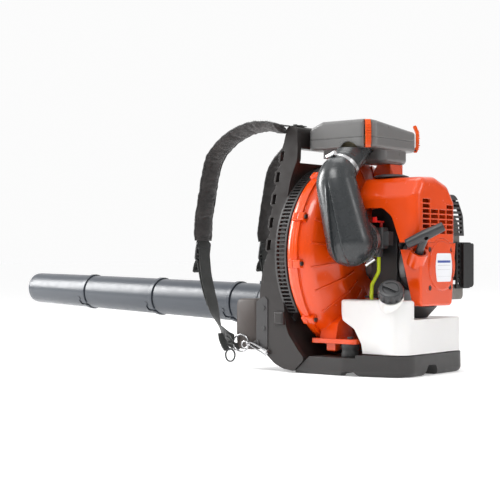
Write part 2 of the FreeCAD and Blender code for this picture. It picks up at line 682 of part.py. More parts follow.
def starter_cover():
    body = prism_x(starter_outline(), 118, STARTER_X)
    body = body.fuse(rod((140, 0, CRANK_Z), (STARTER_X, 0, CRANK_Z), 52))
    body = soften(body, 4, lambda p: p.x > STARTER_X - 0.1 and p.z < COVER_SPLIT_Z - 2)
    dish = rod((STARTER_X - 1, 0, CRANK_Z), (STARTER_X + 2.5, 0, CRANK_Z), 47)
    dish = soften(dish, 2, lambda p: p.x > STARTER_X + 2)
    body = body.fuse(dish)
    hollow = prism_x(starter_outline(4), 110, STARTER_X - 4)
    body = body.cut(hollow.cut(box(100, 200, -90, -46, 226, 260)))
    body = body.cut(prism_y([(100, 260), (118, 260), (118, 250), (147, 130), (147, 120),
                             (100, 120)], -100, 80))
    body = body.cut(box(100, 200, -90, -50, 238, 260))
    post = rod((124, 0, CRANK_Z), (STARTER_X - 3, 0, CRANK_Z), 6)
    cup = rod(along(GUIDE, PULL, -22), along(GUIDE, PULL, 8), 17)
    body = join([body, post, cup])
    body = body.cut(rod(along(GUIDE, PULL, -2), along(GUIDE, PULL, 20), 12.5))
    body = body.cut(rod(along(GUIDE, PULL, -30), along(GUIDE, PULL, 5), 5))
    for y, z in STARTER_SCREWS:
        body = body.cut(rod((STARTER_X - 2.5, y, z), (STARTER_X + 5, y, z), 5))
        body = body.cut(rod((STARTER_X - 10, y, z), (STARTER_X + 5, y, z), 2.2))
    return body


def starter_screws():
    screws = []
    for y, z in STARTER_SCREWS:
        head = rod((STARTER_X - 2.5, y, z), (STARTER_X + 0.5, y, z), 4)
        head = head.cut(box(STARTER_X - 0.8, STARTER_X + 1, y - 3, y + 3, z - 0.6, z + 0.6))
        screws.append(join([head, rod((STARTER_X - 10, y, z), (STARTER_X - 2.5, y, z), 2.2)]))
    return screws


def nameplate():
    """Blank barrel-shaped plate on the starter cover."""
    x = STARTER_X + 2.5
    top = CRANK_Z + 24
    low = CRANK_Z - 30
    return prism_x([(-22, top, 4), (28, top, 4), (34, CRANK_Z, 60), (28, low, 4), (-22, low, 4),
                    (-28, CRANK_Z, 60)], x, x + 0.8)


def starter_pulley():
    hub = 6 + RUN_CLEAR
    return turned_x([(133, hub), (133, 28), (137, 28), (137, 24), (142, 24), (142, 28),
                     (146, 28), (146, hub)], 0, CRANK_Z)


def rope_guide():
    ring = rod(along(GUIDE, PULL, -24), along(GUIDE, PULL, -2), 5)
    lip = rod(along(GUIDE, PULL, -2), along(GUIDE, PULL, 0), 8)
    return join([ring, lip]).cut(rod(along(GUIDE, PULL, -30), along(GUIDE, PULL, 2), 2.2))


GRIP = V(0.775, 0.465, 0.432).normalize()
GRIP_AT = 45.0            # distance of the grip's middle from the rope guide


def starter_handle():
    middle = GUIDE + PULL * GRIP_AT
    bar = turned([(0, -38), (8.5, -38, 2), (10.5, 0, 80), (8.5, 38, 2), (0, 38)],
                 (middle.x, middle.y, middle.z), (GRIP.x, GRIP.y, GRIP.z))
    stem = turned([(0, 0), (8, 0, 1), (7, 16, 10), (9, 38), (0, 38)],
                  along(GUIDE, PULL, 3), (PULL.x, PULL.y, PULL.z))
    side = GRIP.cross(PULL).normalize()
    hole = rod(along(middle, side, -14), along(middle, side, 14), 4)
    return join([bar, stem]).cut(hole)


def starter_rope():
    """Rope from the pulley's groove through the guide to the handle."""
    bend = GUIDE + PULL * -34
    reach = math.hypot(bend.y, bend.z - CRANK_Z)
    angle = math.atan2(bend.z - CRANK_Z, bend.y) % (2 * math.pi) - math.acos(25.8 / reach)
    leave = (139.5, 25.8 * math.cos(angle), CRANK_Z + 25.8 * math.sin(angle))
    return sweep([leave, (bend.x, bend.y, bend.z), along(GUIDE, PULL, 3)], [6], 1.7)


# ---- muffler side -------------------------------------------------------
def muffler():
    body = prism_x([(62, 178, 14), (62, 304, 14), (106, 304, 22), (116, 268), (116, 178, 14)],
                   66, 136)
    hollow = prism_x([(64, 180, 12), (64, 302, 12), (105, 302, 20), (114, 267), (114, 180, 12)],
                     68, 134)
    port = box(CYL_X - 18, CYL_X + 18, 52, 62.5, 264, 296)
    stub = rod((130, 100, 190), (142, 100, 190), 9)
    body = join([body, port, stub]).cut(hollow)
    body = body.cut(rod((CYL_X, 50, 280), (CYL_X, 66, 280), 9))
    body = body.cut(rod((130, 100, 190), (145, 100, 190), 7))
    tray = prism_x([(66, 141, 6), (66, 170, 3), (114, 170, 3), (114, 141, 10)], 112, 145)
    tray = tray.cut(prism_x([(69, 144, 4), (69, 175), (111, 175), (111, 144, 8)], 110, 142))
    return [body, tray]


def muffler_guard():
    """Grey louvred hood over the muffler."""
    r = 26
    shell = prism_x([(60, 266), (60, 346, 4), (94, 346, r), (120, 306, r), (124, 266)], 62, 142)
    shell = shell.cut(prism_x([(58, 260), (58, 343), (92, 343, r - 3), (117, 305, r - 3),
                               (121, 260)], 58, 139))
    for i in range(8):
        z = 271 + 8.6 * i
        wide = 116 - max(0, (z - 300)) * 0.45
        shell = shell.cut(box(137, 144, 74, wide, z, z + 4.6))
        if i < 6:
            shell = shell.cut(box(70, 134, 100, 130, z, z + 4.6))
    return shell


def heat_plate():
    """Black bent plate behind the muffler, with a column of holes."""
    plate = prism_x([(81, 162, 3), (81, 253, 3), (138, 253, 4), (138, 168, 6), (132, 162, 4)],
                    147, 150)
    lip = prism_x([(98, 164, 2), (98, 251, 2), (138, 251, 4), (138, 168, 6), (130, 164, 4)],
                  149, 156)
    plate = join([plate, lip, box(128, 148, 134, 138, 172, 250)])
    for i in range(8):
        plate = plate.cut(rod((140, 90, 172 + 10.6 * i), (160, 90, 172 + 10.6 * i), 3.5))
    return plate


def lower_shroud():
    """Dark cone under the starter cover that leads cooling air away."""
    cone = turned([(12, 0), (15, 0, 1), (34, 21), (34, 23), (31, 23), (12, 2)],
                  (124, -16, 108), (0, 0, 1))
    return cone


# ---- fuel tank ----------------------------------------------------------
TANK_Y = -118.0
CAP_AXIS = V(0.35, -0.62, 0.70).normalize()
CAP_AT = V(131, -124, 160)


def tank_body(i=0.0):
    r = 30 - i
    low = prism_z([(40 + i, TANK_Y + i, 8), (155 - i, TANK_Y + i, r), (155 - i, 94 - i, 14 - i),
                   (84 + i, 94 - i, 12), (70 + i, -30 - i, 12), (40 + i, -30 - i, 8)],
                  42 + i, 107 - i)
    high = prism_z([(12 + i, TANK_Y + i, 8), (155 - i, TANK_Y + i, r), (155 - i, -82 - i),
                    (12 + i, -82 - i, 8)], 42 + i, 143 - i)
    body = low.fuse(high).removeSplitter()
    step = prism_y([(-10, 150), (11 + i, 150), (11 + i, 134), (18 + i, 104, 8), (45 + i, 88, 10),
                    (61 + i, 60, 8), (66 + i, 30), (-10, 30)], -200, 200)
    return body.cut(step)


def fuel_tank():
    body = tank_body()
    crisp = [e for e in body.Edges
             if abs(e.BoundBox.ZMin - 143) < 0.01 and abs(e.BoundBox.ZMax - 143) < 0.01]
    body = body.makeFillet(5, crisp)
    neck = rod(along(CAP_AT, CAP_AXIS, -38), along(CAP_AT, CAP_AXIS, 2), 19)
    seat = rod(along(CAP_AT, CAP_AXIS, -38), along(CAP_AT, CAP_AXIS, -12), 23)
    body = join([body, neck, seat])
    body = body.cut(tank_body(2.5))
    body = body.cut(rod(along(CAP_AT, CAP_AXIS, -36), along(CAP_AT, CAP_AXIS, 3), 15))
    return body.cut(rod((68, -94, 138), (68, -94, 146), 3.6))


def cap_gasket():
    return pipe(along(CAP_AT, CAP_AXIS, 2), along(CAP_AT, CAP_AXIS, 3.5), 18.5, 12)


def fuel_cap():
    centre = (CAP_AT.x, CAP_AT.y, CAP_AT.z)
    axis = (CAP_AXIS.x, CAP_AXIS.y, CAP_AXIS.z)
    cap = turned([(19.3, -10), (24, -10, 2), (24.5, 2), (22, 9, 3), (15, 10.5, 2), (14, 8, 1),
                  (0, 8), (0, 3.6), (19.3, 3.6)], centre, axis)
    side = CAP_AXIS.cross(V(0, 0, 1)).normalize()
    for i in range(12):
        notch = rod(along(CAP_AT + side * 26.5, CAP_AXIS, -6), along(CAP_AT + side * 26.5, CAP_AXIS, 12), 4.2)
        notch.rotate(CAP_AT, CAP_AXIS, 30 * i)
        cap = cap.cut(notch)
    bar = box(-16, 16, -3, 3, 6, 12)
    bar.Placement = FreeCAD.Placement(CAP_AT, FreeCAD.Rotation(V(0, 0, 1), CAP_AXIS))
    return join([cap, bar])


def fuel_hose():
    return sweep([(74, -78, 223.9), (74, -78, 196), (65, -87, 172), (68, -94, 154),
                  (68, -94, 136)], [15, 12, 12], 3.5, 2.0)



# ---- intake duct and air filter -----------------------------------------
DUCT_TOP = V(18, -141.5, 368)
DUCT_LOW = V(DUCT_X - 1, -140, DUCT_Z - 2)
DUCT_NECK = V(17, -112, 399)
NECK_TOP = V(12, -66, 432)


def ball(centre, r):
    return Part.makeSphere(r, centre)


def duct_body(i=0.0):
    run = DUCT_LOW - DUCT_TOP
    cone = Part.makeCone(39 - i, 46 - i, run.Length, DUCT_TOP, run)
    up = DUCT_NECK - DUCT_TOP
    neck = Part.makeCylinder(30 - i, up.Length, DUCT_TOP, up)
    mouth = rod((DUCT_X, DUCT_LOW.y, DUCT_Z), (DUCT_X, -98, DUCT_Z), 38 - i)
    body = ball(DUCT_TOP, 39 - i).fuse([cone, neck, mouth, ball(DUCT_LOW, 46 - i)])
    near = rod((-80, FAN_Y, FAN_Z), (FAN_REAR + 0.4 + i, FAN_Y, FAN_Z), FAN_R + 0.5 + i)
    return body.cut(box(0, 110, -98, -80, 190, 320)).cut(near)


def intake_duct():
    inside = duct_body(3)
    up = (DUCT_NECK - DUCT_TOP).normalize()
    inside = inside.fuse([rod(along(DUCT_NECK, up, -3), along(DUCT_NECK, up, 3), 27),
                          rod((DUCT_X, -103, DUCT_Z), (DUCT_X, -95, DUCT_Z), 35)])
    groove = pipe((DUCT_X, -108.2, DUCT_Z), (DUCT_X, -97, DUCT_Z), 39.4, 38)
    return duct_body().cut(inside).cut(groove).removeSplitter()


def worm_clamp(centre, axis, r, width, screw_at):
    """Band clamp with its screw housing, a single solid."""
    a = V(*axis).normalize()
    c = V(*centre)
    band = rod(along(c, a, -width / 2), along(c, a, width / 2), r + 1)
    outward = V(*screw_at)
    outward = (outward - a * outward.dot(a)).normalize()
    across = a.cross(outward)
    seat = c + outward * (r + 4.6)
    block = rod(along(seat, across, -9), along(seat, across, 9), 4)
    head = rod(along(seat, across, 9), along(seat, across, 14), 4.6)
    band = join([band, block, head])
    return band.cut(rod(along(c, a, -width), along(c, a, width), r))


def duct_clamps():
    up = (DUCT_NECK - DUCT_TOP).normalize()
    c = DUCT_NECK - up * 6
    top = worm_clamp((c.x, c.y, c.z), (up.x, up.y, up.z), 30, 9, (-0.3, -1, 0.2))
    low = worm_clamp((DUCT_X, -103.5, DUCT_Z), (0, 1, 0), 38, 9, (0.6, 0, -1))
    return [top, low]


def filter_neck():
    """Dark cone joining the duct to the underside of the air filter."""
    up = (NECK_TOP - DUCT_NECK).normalize()
    start = along(DUCT_NECK, (DUCT_NECK - DUCT_TOP).normalize(), 0.2)
    whole = join([rod(start, along(NECK_TOP, up, 12), 29), ball(DUCT_NECK + up * 3, 29.5)])
    hollow = rod(along(DUCT_NECK, up, -20), along(NECK_TOP, up, 20), 26)
    over = box(-60, 100, -160, 0, 433, 480)
    whole = whole.cut(over).cut(hollow)
    duct = (DUCT_NECK - DUCT_TOP).normalize()
    return whole.cut(rod(along(DUCT_NECK, duct, -60), along(DUCT_NECK, duct, 0.1), 45))


def filter_plan(i=0.0):
    return [(-88 + i, -80 + i, 12), (-76 + i, -92 + i, 12), (44 - i, -92 + i, 10),
            (64 - i, -70 + i, 10), (64 - i, 66 - i, 10), (46 - i, 90 - i, 10),
            (-76 + i, 90 - i, 12), (-88 + i, 78 - i, 12)]


LATCHES = [((52.5, -83.5), (0.74, -0.67)), ((56, 81), (0.80, 0.60))]


def latch_slots():
    slots = []
    for (x, y), (nx, ny) in LATCHES:
        turn = math.degrees(math.atan2(ny, nx))
        slot = box(-6, 20, -7, 7, 425, 492)
        slot.rotate(V(0, 0, 0), V(0, 0, 1), turn)
        slot.translate(V(x, y, 0))
        slots.append(slot)
    return slots


def filter_base():
    body = prism_z(filter_plan(), 433, FILTER_SPLIT)
    body = soften(body, 6, lambda p: p.z < 433.1)
    body = body.cut(prism_z(filter_plan(3), 436, 460))
    sump = prism_z([(-6, -28, 14), (56, -36, 16), (56, 64, 18), (-6, 48, 14)], 406, 434)
    sump = soften(sump, 10, lambda p: p.z < 406.1)
    stand = prism_z([(-58, -80, 8), (-14, -80, 8), (-14, -52, 8), (-58, -52, 8)], 417, 434)
    body = join([body, sump, stand])
    body = body.cut(prism_z([(-3, -25, 12), (53, -33, 14), (53, 61, 16), (-3, 45, 12)],
                            409, 440))
    up = (NECK_TOP - DUCT_NECK).normalize()
    body = body.cut(rod(along(NECK_TOP, up, -25), along(NECK_TOP, up, 20), 26))
    body = body.cut(rod(along(NECK_TOP, up, -60), along(NECK_TOP, up, 30), 29.05)
                    .common(box(-100, 100, -200, 100, 380, 433)))
    for slot in latch_slots():
        body = body.cut(slot)
    return body


def slope_above(a, b, c):
    """Everything above the plane through three points."""
    up = (b - a).cross(c - a).normalize()
    if up.z < 0:
        up = up * -1
    slab = Part.makeBox(400, 400, 60, V(-200, -200, 0))
    slab.Placement = FreeCAD.Placement(a, FreeCAD.Rotation(V(0, 0, 1), up))
    return slab


def filter_cover():
    body = prism_z(filter_plan(), FILTER_SPLIT + 0.4, 488)
    body = body.common(prism_y([(-90, 430), (-90, 472), (-50, 488), (66, 488), (66, 430)], -100, 100))
    body = body.cut(slope_above(V(60, -80, 487), V(64, 80, 470), V(-30, 90, 488)))
    body = soften(body, 7, lambda p: p.z > 469)
    body = body.cut(prism_z(filter_plan(3), 440, 464))
    for slot in latch_slots():
        body = body.cut(slot)
    return body


def filter_element():
    slab = prism_z([(-74, -70, 6), (44, -70, 6), (44, 66, 6), (-74, 66, 6)], 438, 461)
    folds = [box(-70, 40, y, y + 4, 444, 480) for y in range(-60, 60, 10)]
    for fold in folds:
        slab = slab.cut(fold)
    return slab


def latch_shape():
    """Curved over-centre latch, drawn outward along +X, then turned into place."""
    strap = prism_y([(-4, 433, 2), (3, 433, 2), (6, 442, 8), (6.5, 474, 8), (1, 488, 3),
                     (-5, 486, 1), (-4, 482, 1), (0.5, 472, 6), (0.5, 444, 6), (-4, 440)], -5, 5)
    barbs = [box(5.5, 7.5, -5, 5, 446 + 5 * i, 448 + 5 * i) for i in range(5)]
    strap = join([strap] + barbs)
    return strap.cut(rod((-0.5, -9, 437), (-0.5, 9, 437), 1.5 + RUN_CLEAR))


def place_latch(shape, n):
    (x, y), (nx, ny) = LATCHES[n]
    shape = shape.copy()
    shape.rotate(V(0, 0, 0), V(0, 0, 1), math.degrees(math.atan2(ny, nx)))
    shape.translate(V(x, y, 0))
    return shape


def filter_latch(n):
    return place_latch(latch_shape(), n)


def latch_pins():
    pin = rod((-0.5, -7, 437), (-0.5, 7, 437), 1.5)
    return [place_latch(pin, n) for n in range(2)]


def filter_bracket():
    """Orange bracket that carries the air filter's rear end."""
    foot = prism_y([(12, 350, 3), (36, 350), (36, 380), (56, 384, 4), (50, 405.8), (20, 405.8),
                    (12, 394, 6)], -2, 34)
    lug = rod((46, 38, 386), (46, 38, 405.8), 6)
    ear = box(36, 50, 30, 40, 388, 398)
    return join([foot, lug, ear]).cut(rod((72, -32, 370), (72, -32, 400), 37))


# ---- blower tube --------------------------------------------------------
def tilt(shape):
    """Raise the tube toward the nozzle about the outlet's axis."""
    shape = shape.copy()
    shape.rotate(V(OUTLET_X, 0, TUBE_Z), V(0, 1, 0), TUBE_TILT)
    return shape


def tube(points):
    return turned_x(points, TUBE_Y, TUBE_Z)


def outlet_elbow():
    """Flanged elbow from the fan housing's side to the forward tube."""
    bend = 53.0
    start = 152.0
    y1 = TUBE_Y - bend
    x1 = OUTLET_X - bend
    ring = Part.Face(Part.Wire(Part.makeCircle(43, V(OUTLET_X, y1, TUBE_Z), V(0, 1, 0))))
    hole = Part.Face(Part.Wire(Part.makeCircle(40, V(OUTLET_X, y1, TUBE_Z), V(0, 1, 0))))
    bent = ring.revolve(V(x1, y1, TUBE_Z), V(0, 0, 1), 90)
    bore = hole.revolve(V(x1, y1, TUBE_Z), V(0, 0, 1), 90)
    straight = rod((x1, TUBE_Y, TUBE_Z), (-116, TUBE_Y, TUBE_Z), 43)
    inside = bore.fuse(rod((x1, TUBE_Y, TUBE_Z), (-117, TUBE_Y, TUBE_Z), 40))
    body = join([bent, straight]).cut(inside)
    flange = prism_y([(OUTLET_X - 46, TUBE_Z - 46, 14), (OUTLET_X + 46, TUBE_Z - 46, 14),
                      (OUTLET_X + 46, TUBE_Z + 46, 14), (OUTLET_X - 46, TUBE_Z + 46, 14)],
                     start, start + 5)
    for x in (OUTLET_X - 38, OUTLET_X + 38):
        for z in (TUBE_Z - 38, TUBE_Z + 38):
            flange = flange.cut(rod((x, 140, z), (x, 160, z), 2.5))
    flange = flange.cut(rod((OUTLET_X, 140, TUBE_Z), (OUTLET_X, 160, TUBE_Z), 42))
    return join([tilt(body), flange])


def elbow_screws():
    screws = []
    for x in (OUTLET_X - 38, OUTLET_X + 38):
        for z in (TUBE_Z - 38, TUBE_Z + 38):
            screws.append(join([rod((x, 144, z), (x, 157, z), 2.5),
                                rod((x, 157, z), (x, 160, z), 4.5)]))
    return screws


BELLOWS_X0 = -104.0
BELLOWS_X1 = -240.0
SWING_X = -172.0          # the tube swings and tilts about the bellows' middle
RING_HALF = 5.0


def bellows_half(x_from, x_to, cuff_r):
    """Corrugated rubber from a smooth cuff to the middle ring."""
    sign = -1 if x_to < x_from else 1
    outer = [(x_from, cuff_r), (x_from, cuff_r + 3), (x_from + sign * 16, cuff_r + 3)]
    folds = 4
    span = (abs(x_to - x_from) - 20) / folds
    for i in range(folds):
        x = x_from + sign * (18 + span * i)
        outer += [(x, 46.5), (x + sign * span * 0.3, 50.5), (x + sign * span * 0.7, 50.5)]
    outer += [(x_to - sign * 1.0, 47), (x_to, 47)]
    inner = [(x_to, 44.5), (x_from + sign * 18, 44.5), (x_from + sign * 16, cuff_r)]
    return tilt(tube(outer + inner))


def bellows_rear():
    return bellows_half(BELLOWS_X0, SWING_X + RING_HALF, 43.2)


def bellows_front():
    return bellows_half(BELLOWS_X1, SWING_X - RING_HALF, 46.2)


def bellows_ring():
    x0 = SWING_X - RING_HALF
    x1 = SWING_X + RING_HALF
    return tilt(tube([(x0, 44.5), (x0, 51, 2), (x1, 51, 2), (x1, 44.5)]))


def bellows_clamp(x, r):
    c = V(x, TUBE_Y, TUBE_Z)
    clamp = worm_clamp((c.x, c.y, c.z), (1, 0, 0), r, 10, (0, 0.4, -1))
    return tilt(clamp)


def tube_joint(x, r):
    """Twist-lock joint at x: male end (to -X), sleeve radius and lug."""
    lugs = []
    for a in (25, 205):
        lug = box(x + 14, x + 20, TUBE_Y + r - 1, TUBE_Y + r + 3.4, TUBE_Z - 4, TUBE_Z + 4)
        lugs.append(spin_x(lug, TUBE_Y, TUBE_Z, a))
    return lugs


def twist_slots(x, r):
    """L-shaped slots in the sleeve of the joint at x."""
    slots = []
    for a in (25, 205):
        way_in = box(x + 13, x + 41, TUBE_Y + r - 2, TUBE_Y + r + 8, TUBE_Z - 5, TUBE_Z + 5)
        slots.append(spin_x(way_in, TUBE_Y, TUBE_Z, a + 24))
        turn = pipe((x + 13.5, TUBE_Y, TUBE_Z), (x + 20.5, TUBE_Y, TUBE_Z), r + 8, r - 2)
        corner = [(TUBE_Y, TUBE_Z)]
        for k in range(5):
            b = math.radians(a - 6.5 + (24 + 12) * k / 4)
            corner.append((TUBE_Y + 90 * math.cos(b), TUBE_Z + 90 * math.sin(b)))
        slots.append(turn.common(prism_x(corner, x + 10, x + 24)))
    return slots


def sleeve_ring(x, r):
    """Raised collar round the mouth of a sleeve."""
    return tube([(x + 30, r + 1), (x + 30, r + 4.2, 1.5), (x + 40, r + 4.2, 1.5), (x + 40, r + 1)])


JOINT_A = -542.0          # sleeve-front ends of the three twist-lock joints
JOINT_B = -795.0
JOINT_C = -1040.0
TIP_X = -1226.0
MALE_A = 43.2
MALE_B = 41.2
MALE_C = 39.2


def tube_segment(x0, r0, x1, r1, male):
    """Tapering tube from x0 forward to x1, its front end stepped down to male."""
    w = TUBE_WALL
    return [(x0, r0 - w), (x0, r0), (x1 + 42, r1), (x1 + 40, male), (x1 + 1, male), (x1, male - 1),
            (x1, male - w), (x1 + 44, male - w), (x1 + 46, r1 - w)]


def swivel_pipe():
    body = tube([(-225.5, 43.8), (-225.5, 46), (-420, 46), (-422, 47.5), (-428, 47.5), (-430, 45.6),
                 (JOINT_A + 42, 45.6), (JOINT_A + 40, MALE_A), (JOINT_A, MALE_A),
                 (JOINT_A, MALE_A - 2.2), (JOINT_A + 46, MALE_A - 2.2), (JOINT_A + 50, 43.2),
                 (-430, 43.4), (-425, 43.8)])
    knob = rod((-444, TUBE_Y, TUBE_Z + 44.5), (-444, TUBE_Y, TUBE_Z + 52), 4)
    return tilt(join([body, knob] + tube_joint(JOINT_A, MALE_A)))


def sleeved_tube(joint, sleeve, x1, r1, male):
    """Tube whose rear sleeve slides over the male end at the joint."""
    inner = sleeve + FIT
    outer = inner + TUBE_WALL
    w = TUBE_WALL
    start = joint + 39.5
    body = [(start, inner), (start, outer), (joint - 6, outer), (x1 + 42, r1), (x1 + 40, male),
            (x1, male), (x1, male - w), (x1 + 44, male - w), (x1 + 46, r1 - w),
            (joint - 8, outer - w - 0.6), (joint - 3, inner)]
    collar = [(start, outer - 1), (start, outer + 3, 1.2), (start - 11, outer + 3, 1.2),
              (start - 11, outer - 1)]
    whole = join([tube(body), tube(collar)] + tube_joint(x1, male))
    for slot in twist_slots(joint, sleeve):
        whole = whole.cut(slot)
    return tilt(whole)


def tube_rear():
    return sleeved_tube(JOINT_A, MALE_A, JOINT_B, 43.6, MALE_B)


def tube_front():
    return sleeved_tube(JOINT_B, MALE_B, JOINT_C, 41.8, MALE_C)


def nozzle():
    inner = MALE_C + FIT
    outer = inner + TUBE_WALL
    start = JOINT_C + 39.5
    body = tube([(start, inner), (start, outer), (JOINT_C - 6, outer), (TIP_X + 14, 39.5),
                 (TIP_X + 3, 38.5, 4), (TIP_X, 36, 1), (TIP_X, 34.5), (TIP_X + 6, 36.6),
                 (JOINT_C - 8, outer - TUBE_WALL - 0.6), (JOINT_C - 3, inner)])
    collar = tube([(start, outer - 1), (start, outer + 3, 1.2), (start - 11, outer + 3, 1.2),
                   (start - 11, outer - 1)])
    whole = join([body, collar])
    for slot in twist_slots(JOINT_C, MALE_C):
        whole = whole.cut(slot)
    return tilt(whole)


# ---- throttle handle ----------------------------------------------------
CLAMP_IN = 46.0 + RUN_CLEAR


def handle_clamp():
    ring = tube([(HANDLE_X - 16, CLAMP_IN), (HANDLE_X - 16, 51, 1.5), (HANDLE_X + 16, 51, 1.5),
                 (HANDLE_X + 16, CLAMP_IN)])
    ear = box(HANDLE_X - 14, HANDLE_X + 14, TUBE_Y + 48, TUBE_Y + 70, TUBE_Z - 6, TUBE_Z + 6)
    slit = box(HANDLE_X - 20, HANDLE_X + 20, TUBE_Y + 40, TUBE_Y + 80, TUBE_Z - 1, TUBE_Z + 1)
    seat = prism_z([(HANDLE_X - 15, TUBE_Y - 15, 6), (HANDLE_X + 15, TUBE_Y - 15, 6),
                    (HANDLE_X + 15, TUBE_Y + 15, 6), (HANDLE_X - 15, TUBE_Y + 15, 6)],
                   TUBE_Z + 44, TUBE_Z + 58)
    seat = seat.cut(rod((HANDLE_X - 30, TUBE_Y, TUBE_Z), (HANDLE_X + 30, TUBE_Y, TUBE_Z), 48))
    whole = join([ring, ear, seat]).cut(slit)
    bolt = rod((HANDLE_X, TUBE_Y + 62, TUBE_Z - 10), (HANDLE_X, TUBE_Y + 62, TUBE_Z + 10), 3)
    return tilt(whole.cut(bolt))


def clamp_knob():
    y = TUBE_Y + 62
    shank = rod((HANDLE_X, y, TUBE_Z - 9), (HANDLE_X, y, TUBE_Z + 7), 3)
    knob = rod((HANDLE_X, y, TUBE_Z + 6.5), (HANDLE_X, y, TUBE_Z + 20), 9)
    for i in range(6):
        knob = knob.cut(rod((HANDLE_X + 12 * math.cos(i * math.pi / 3),
                             y + 12 * math.sin(i * math.pi / 3), TUBE_Z),
                            (HANDLE_X + 12 * math.cos(i * math.pi / 3),
                             y + 12 * math.sin(i * math.pi / 3), TUBE_Z + 30), 4))
    return tilt(join([shank, knob]))


GRIP_FOOT = TUBE_Z + 58
TRIGGER_PIN = (HANDLE_X - 8, TUBE_Z + 146)
CRUISE_PIN = (HANDLE_X + 4, TUBE_Z + 158)


def handle_grip():
    """Upright pistol grip with room for the trigger, lever and switch."""
    side = [(HANDLE_X - 15, GRIP_FOOT), (HANDLE_X + 15, GRIP_FOOT), (HANDLE_X + 15, GRIP_FOOT + 30, 40),
            (HANDLE_X + 12, GRIP_FOOT + 78, 40), (HANDLE_X + 18, GRIP_FOOT + 112, 12),
            (HANDLE_X - 18, GRIP_FOOT + 118, 12), (HANDLE_X - 20, GRIP_FOOT + 92, 8),
            (HANDLE_X - 12, GRIP_FOOT + 74, 20), (HANDLE_X - 14, GRIP_FOOT + 24, 30)]
    body = prism_y(side, TUBE_Y - 15, TUBE_Y + 15)
    body = soften(body, 5, lambda p: abs(abs(p.y - TUBE_Y) - 15) < 0.1 and p.z > GRIP_FOOT + 1)
    pocket = box(HANDLE_X - 30, HANDLE_X - 1, TUBE_Y - 5.5, TUBE_Y + 5.5, TUBE_Z + 100, TUBE_Z + 154)
    slot = box(HANDLE_X - 7, HANDLE_X + 16, TUBE_Y + 8.5, TUBE_Y + 20, TUBE_Z + 147, TUBE_Z + 180)
    window = box(HANDLE_X + 12, HANDLE_X + 30, TUBE_Y - 5, TUBE_Y + 5, TUBE_Z + 148, TUBE_Z + 160)
    x, z = TRIGGER_PIN
    body = body.cut(pocket).cut(slot).cut(window)
    body = join([body, rod((x, TUBE_Y - 9, z), (x, TUBE_Y + 7, z), 2.5)])
    x, z = CRUISE_PIN
    return tilt(join([body, rod((x, TUBE_Y + 6, z), (x, TUBE_Y + 14, z), 2.5)]))


def throttle_trigger():
    x, z = TRIGGER_PIN
    blade = prism_y([(x - 6, z + 6, 4), (x + 5, z + 6, 4), (x + 5, z - 6, 3), (x - 3, z - 34, 10),
                     (x - 14, z - 42, 3), (x - 17, z - 38, 3), (x - 10, z - 20, 16)],
                    TUBE_Y - 5, TUBE_Y + 5)
    return tilt(blade.cut(rod((x, 0, z), (x, 300, z), 2.5 + RUN_CLEAR)))


def cruise_lever():
    x, z = CRUISE_PIN
    arm = prism_y([(x - 5, z - 5, 4), (x + 5, z - 5, 4), (x + 5, z + 24, 4), (x - 5, z + 24, 4)],
                  TUBE_Y + 9, TUBE_Y + 13.5)
    return tilt(arm.cut(rod((x, 0, z), (x, 300, z), 2.5 + RUN_CLEAR)))


def stop_switch():
    return tilt(box(HANDLE_X + 12.2, HANDLE_X + 21, TUBE_Y - 4.8, TUBE_Y + 4.8, TUBE_Z + 149,
                    TUBE_Z + 155))


# ---- harness (plain solids, detailed later) -----------------------------
PAD_LINE = [(-126, 478), (-150, 483), (-180, 485), (-210, 481), (-236, 473), (-262, 460),
            (-284, 443), (-302, 420), (-311, 395), (-318, 362), (-325, 327), (-331, 292),
            (-332, 258)]
WEB_LINE = [(-330, 256), (-327, 233), (-322, 183), (-306, 130), (-284, 88), (-252, 66),
            (-232, 60)]


def band(line, thick, y0, y1):
    """Flat strap of even thickness along a side-view line."""
    left = []
    right = []
    for i, (x, z) in enumerate(line):
        a = V(*line[max(i - 1, 0)], 0)
        b = V(*line[min(i + 1, len(line) - 1)], 0)
        t = (b - a).normalize()
        left.append((x - t.y * thick / 2, z + t.x * thick / 2))
        right.append((x + t.y * thick / 2, z - t.x * thick / 2))
    return prism_y(left + right[::-1], y0, y1)


RIGHT_STRAP_IN = 38.0     # the right strap hangs nearer the middle


PAD_TWIST = 17.0          # the strap leans outward where it leaves the frame


def shoulder_pad():
    """Padded strap, flat along Y at its lower end and twisted at its upper end."""
    sections = []
    last = len(PAD_LINE) - 1
    for i, (x, z) in enumerate(PAD_LINE):
        a = V(*PAD_LINE[max(i - 1, 0)], 0)
        b = V(*PAD_LINE[min(i + 1, last)], 0)
        t = (b - a).normalize()
        out = V(t.y, 0, -t.x)
        turn = math.radians(PAD_TWIST * max(0.0, 1 - 1.6 * i / last))
        wide = V(0, math.cos(turn), 0) - out * math.sin(turn)
        thick = out * math.cos(turn) + V(0, math.sin(turn), 0)
        c = V(x, -123, z)
        corners = [c + wide * p + thick * q for p, q in ((-25, -6), (25, -6), (25, 6), (-25, 6))]
        sections.append(Part.makePolygon(corners + corners[:1]))
    return Part.makeLoft(sections, True, True)


def strap_web():
    return band(WEB_LINE, 3, -141, -107)


def strap_buckle():
    """Ladder buckle that the webbing runs through."""
    return prism_y([(-333, 170, 2), (-315, 170, 2), (-315, 206, 2), (-333, 206, 2)], -146, -142)


def d_ring():
    return Part.makeTorus(17, 1.9, V(-209, -151.5, 51), V(0, 1, 0))


def hip_pad():
    return prism_z([(-168, -146, 6), (-168, 146, 6), (-229, 146, 12), (-216, 60, 60),
                    (-206, 0, 200), (-216, -60, 60), (-229, -146, 12)], 40, 141)


def back_pad():
    return prism_x([(-96, 170, 12), (-96, 380, 12), (-24, 380, 8), (-24, 170, 8)], -126, -113)


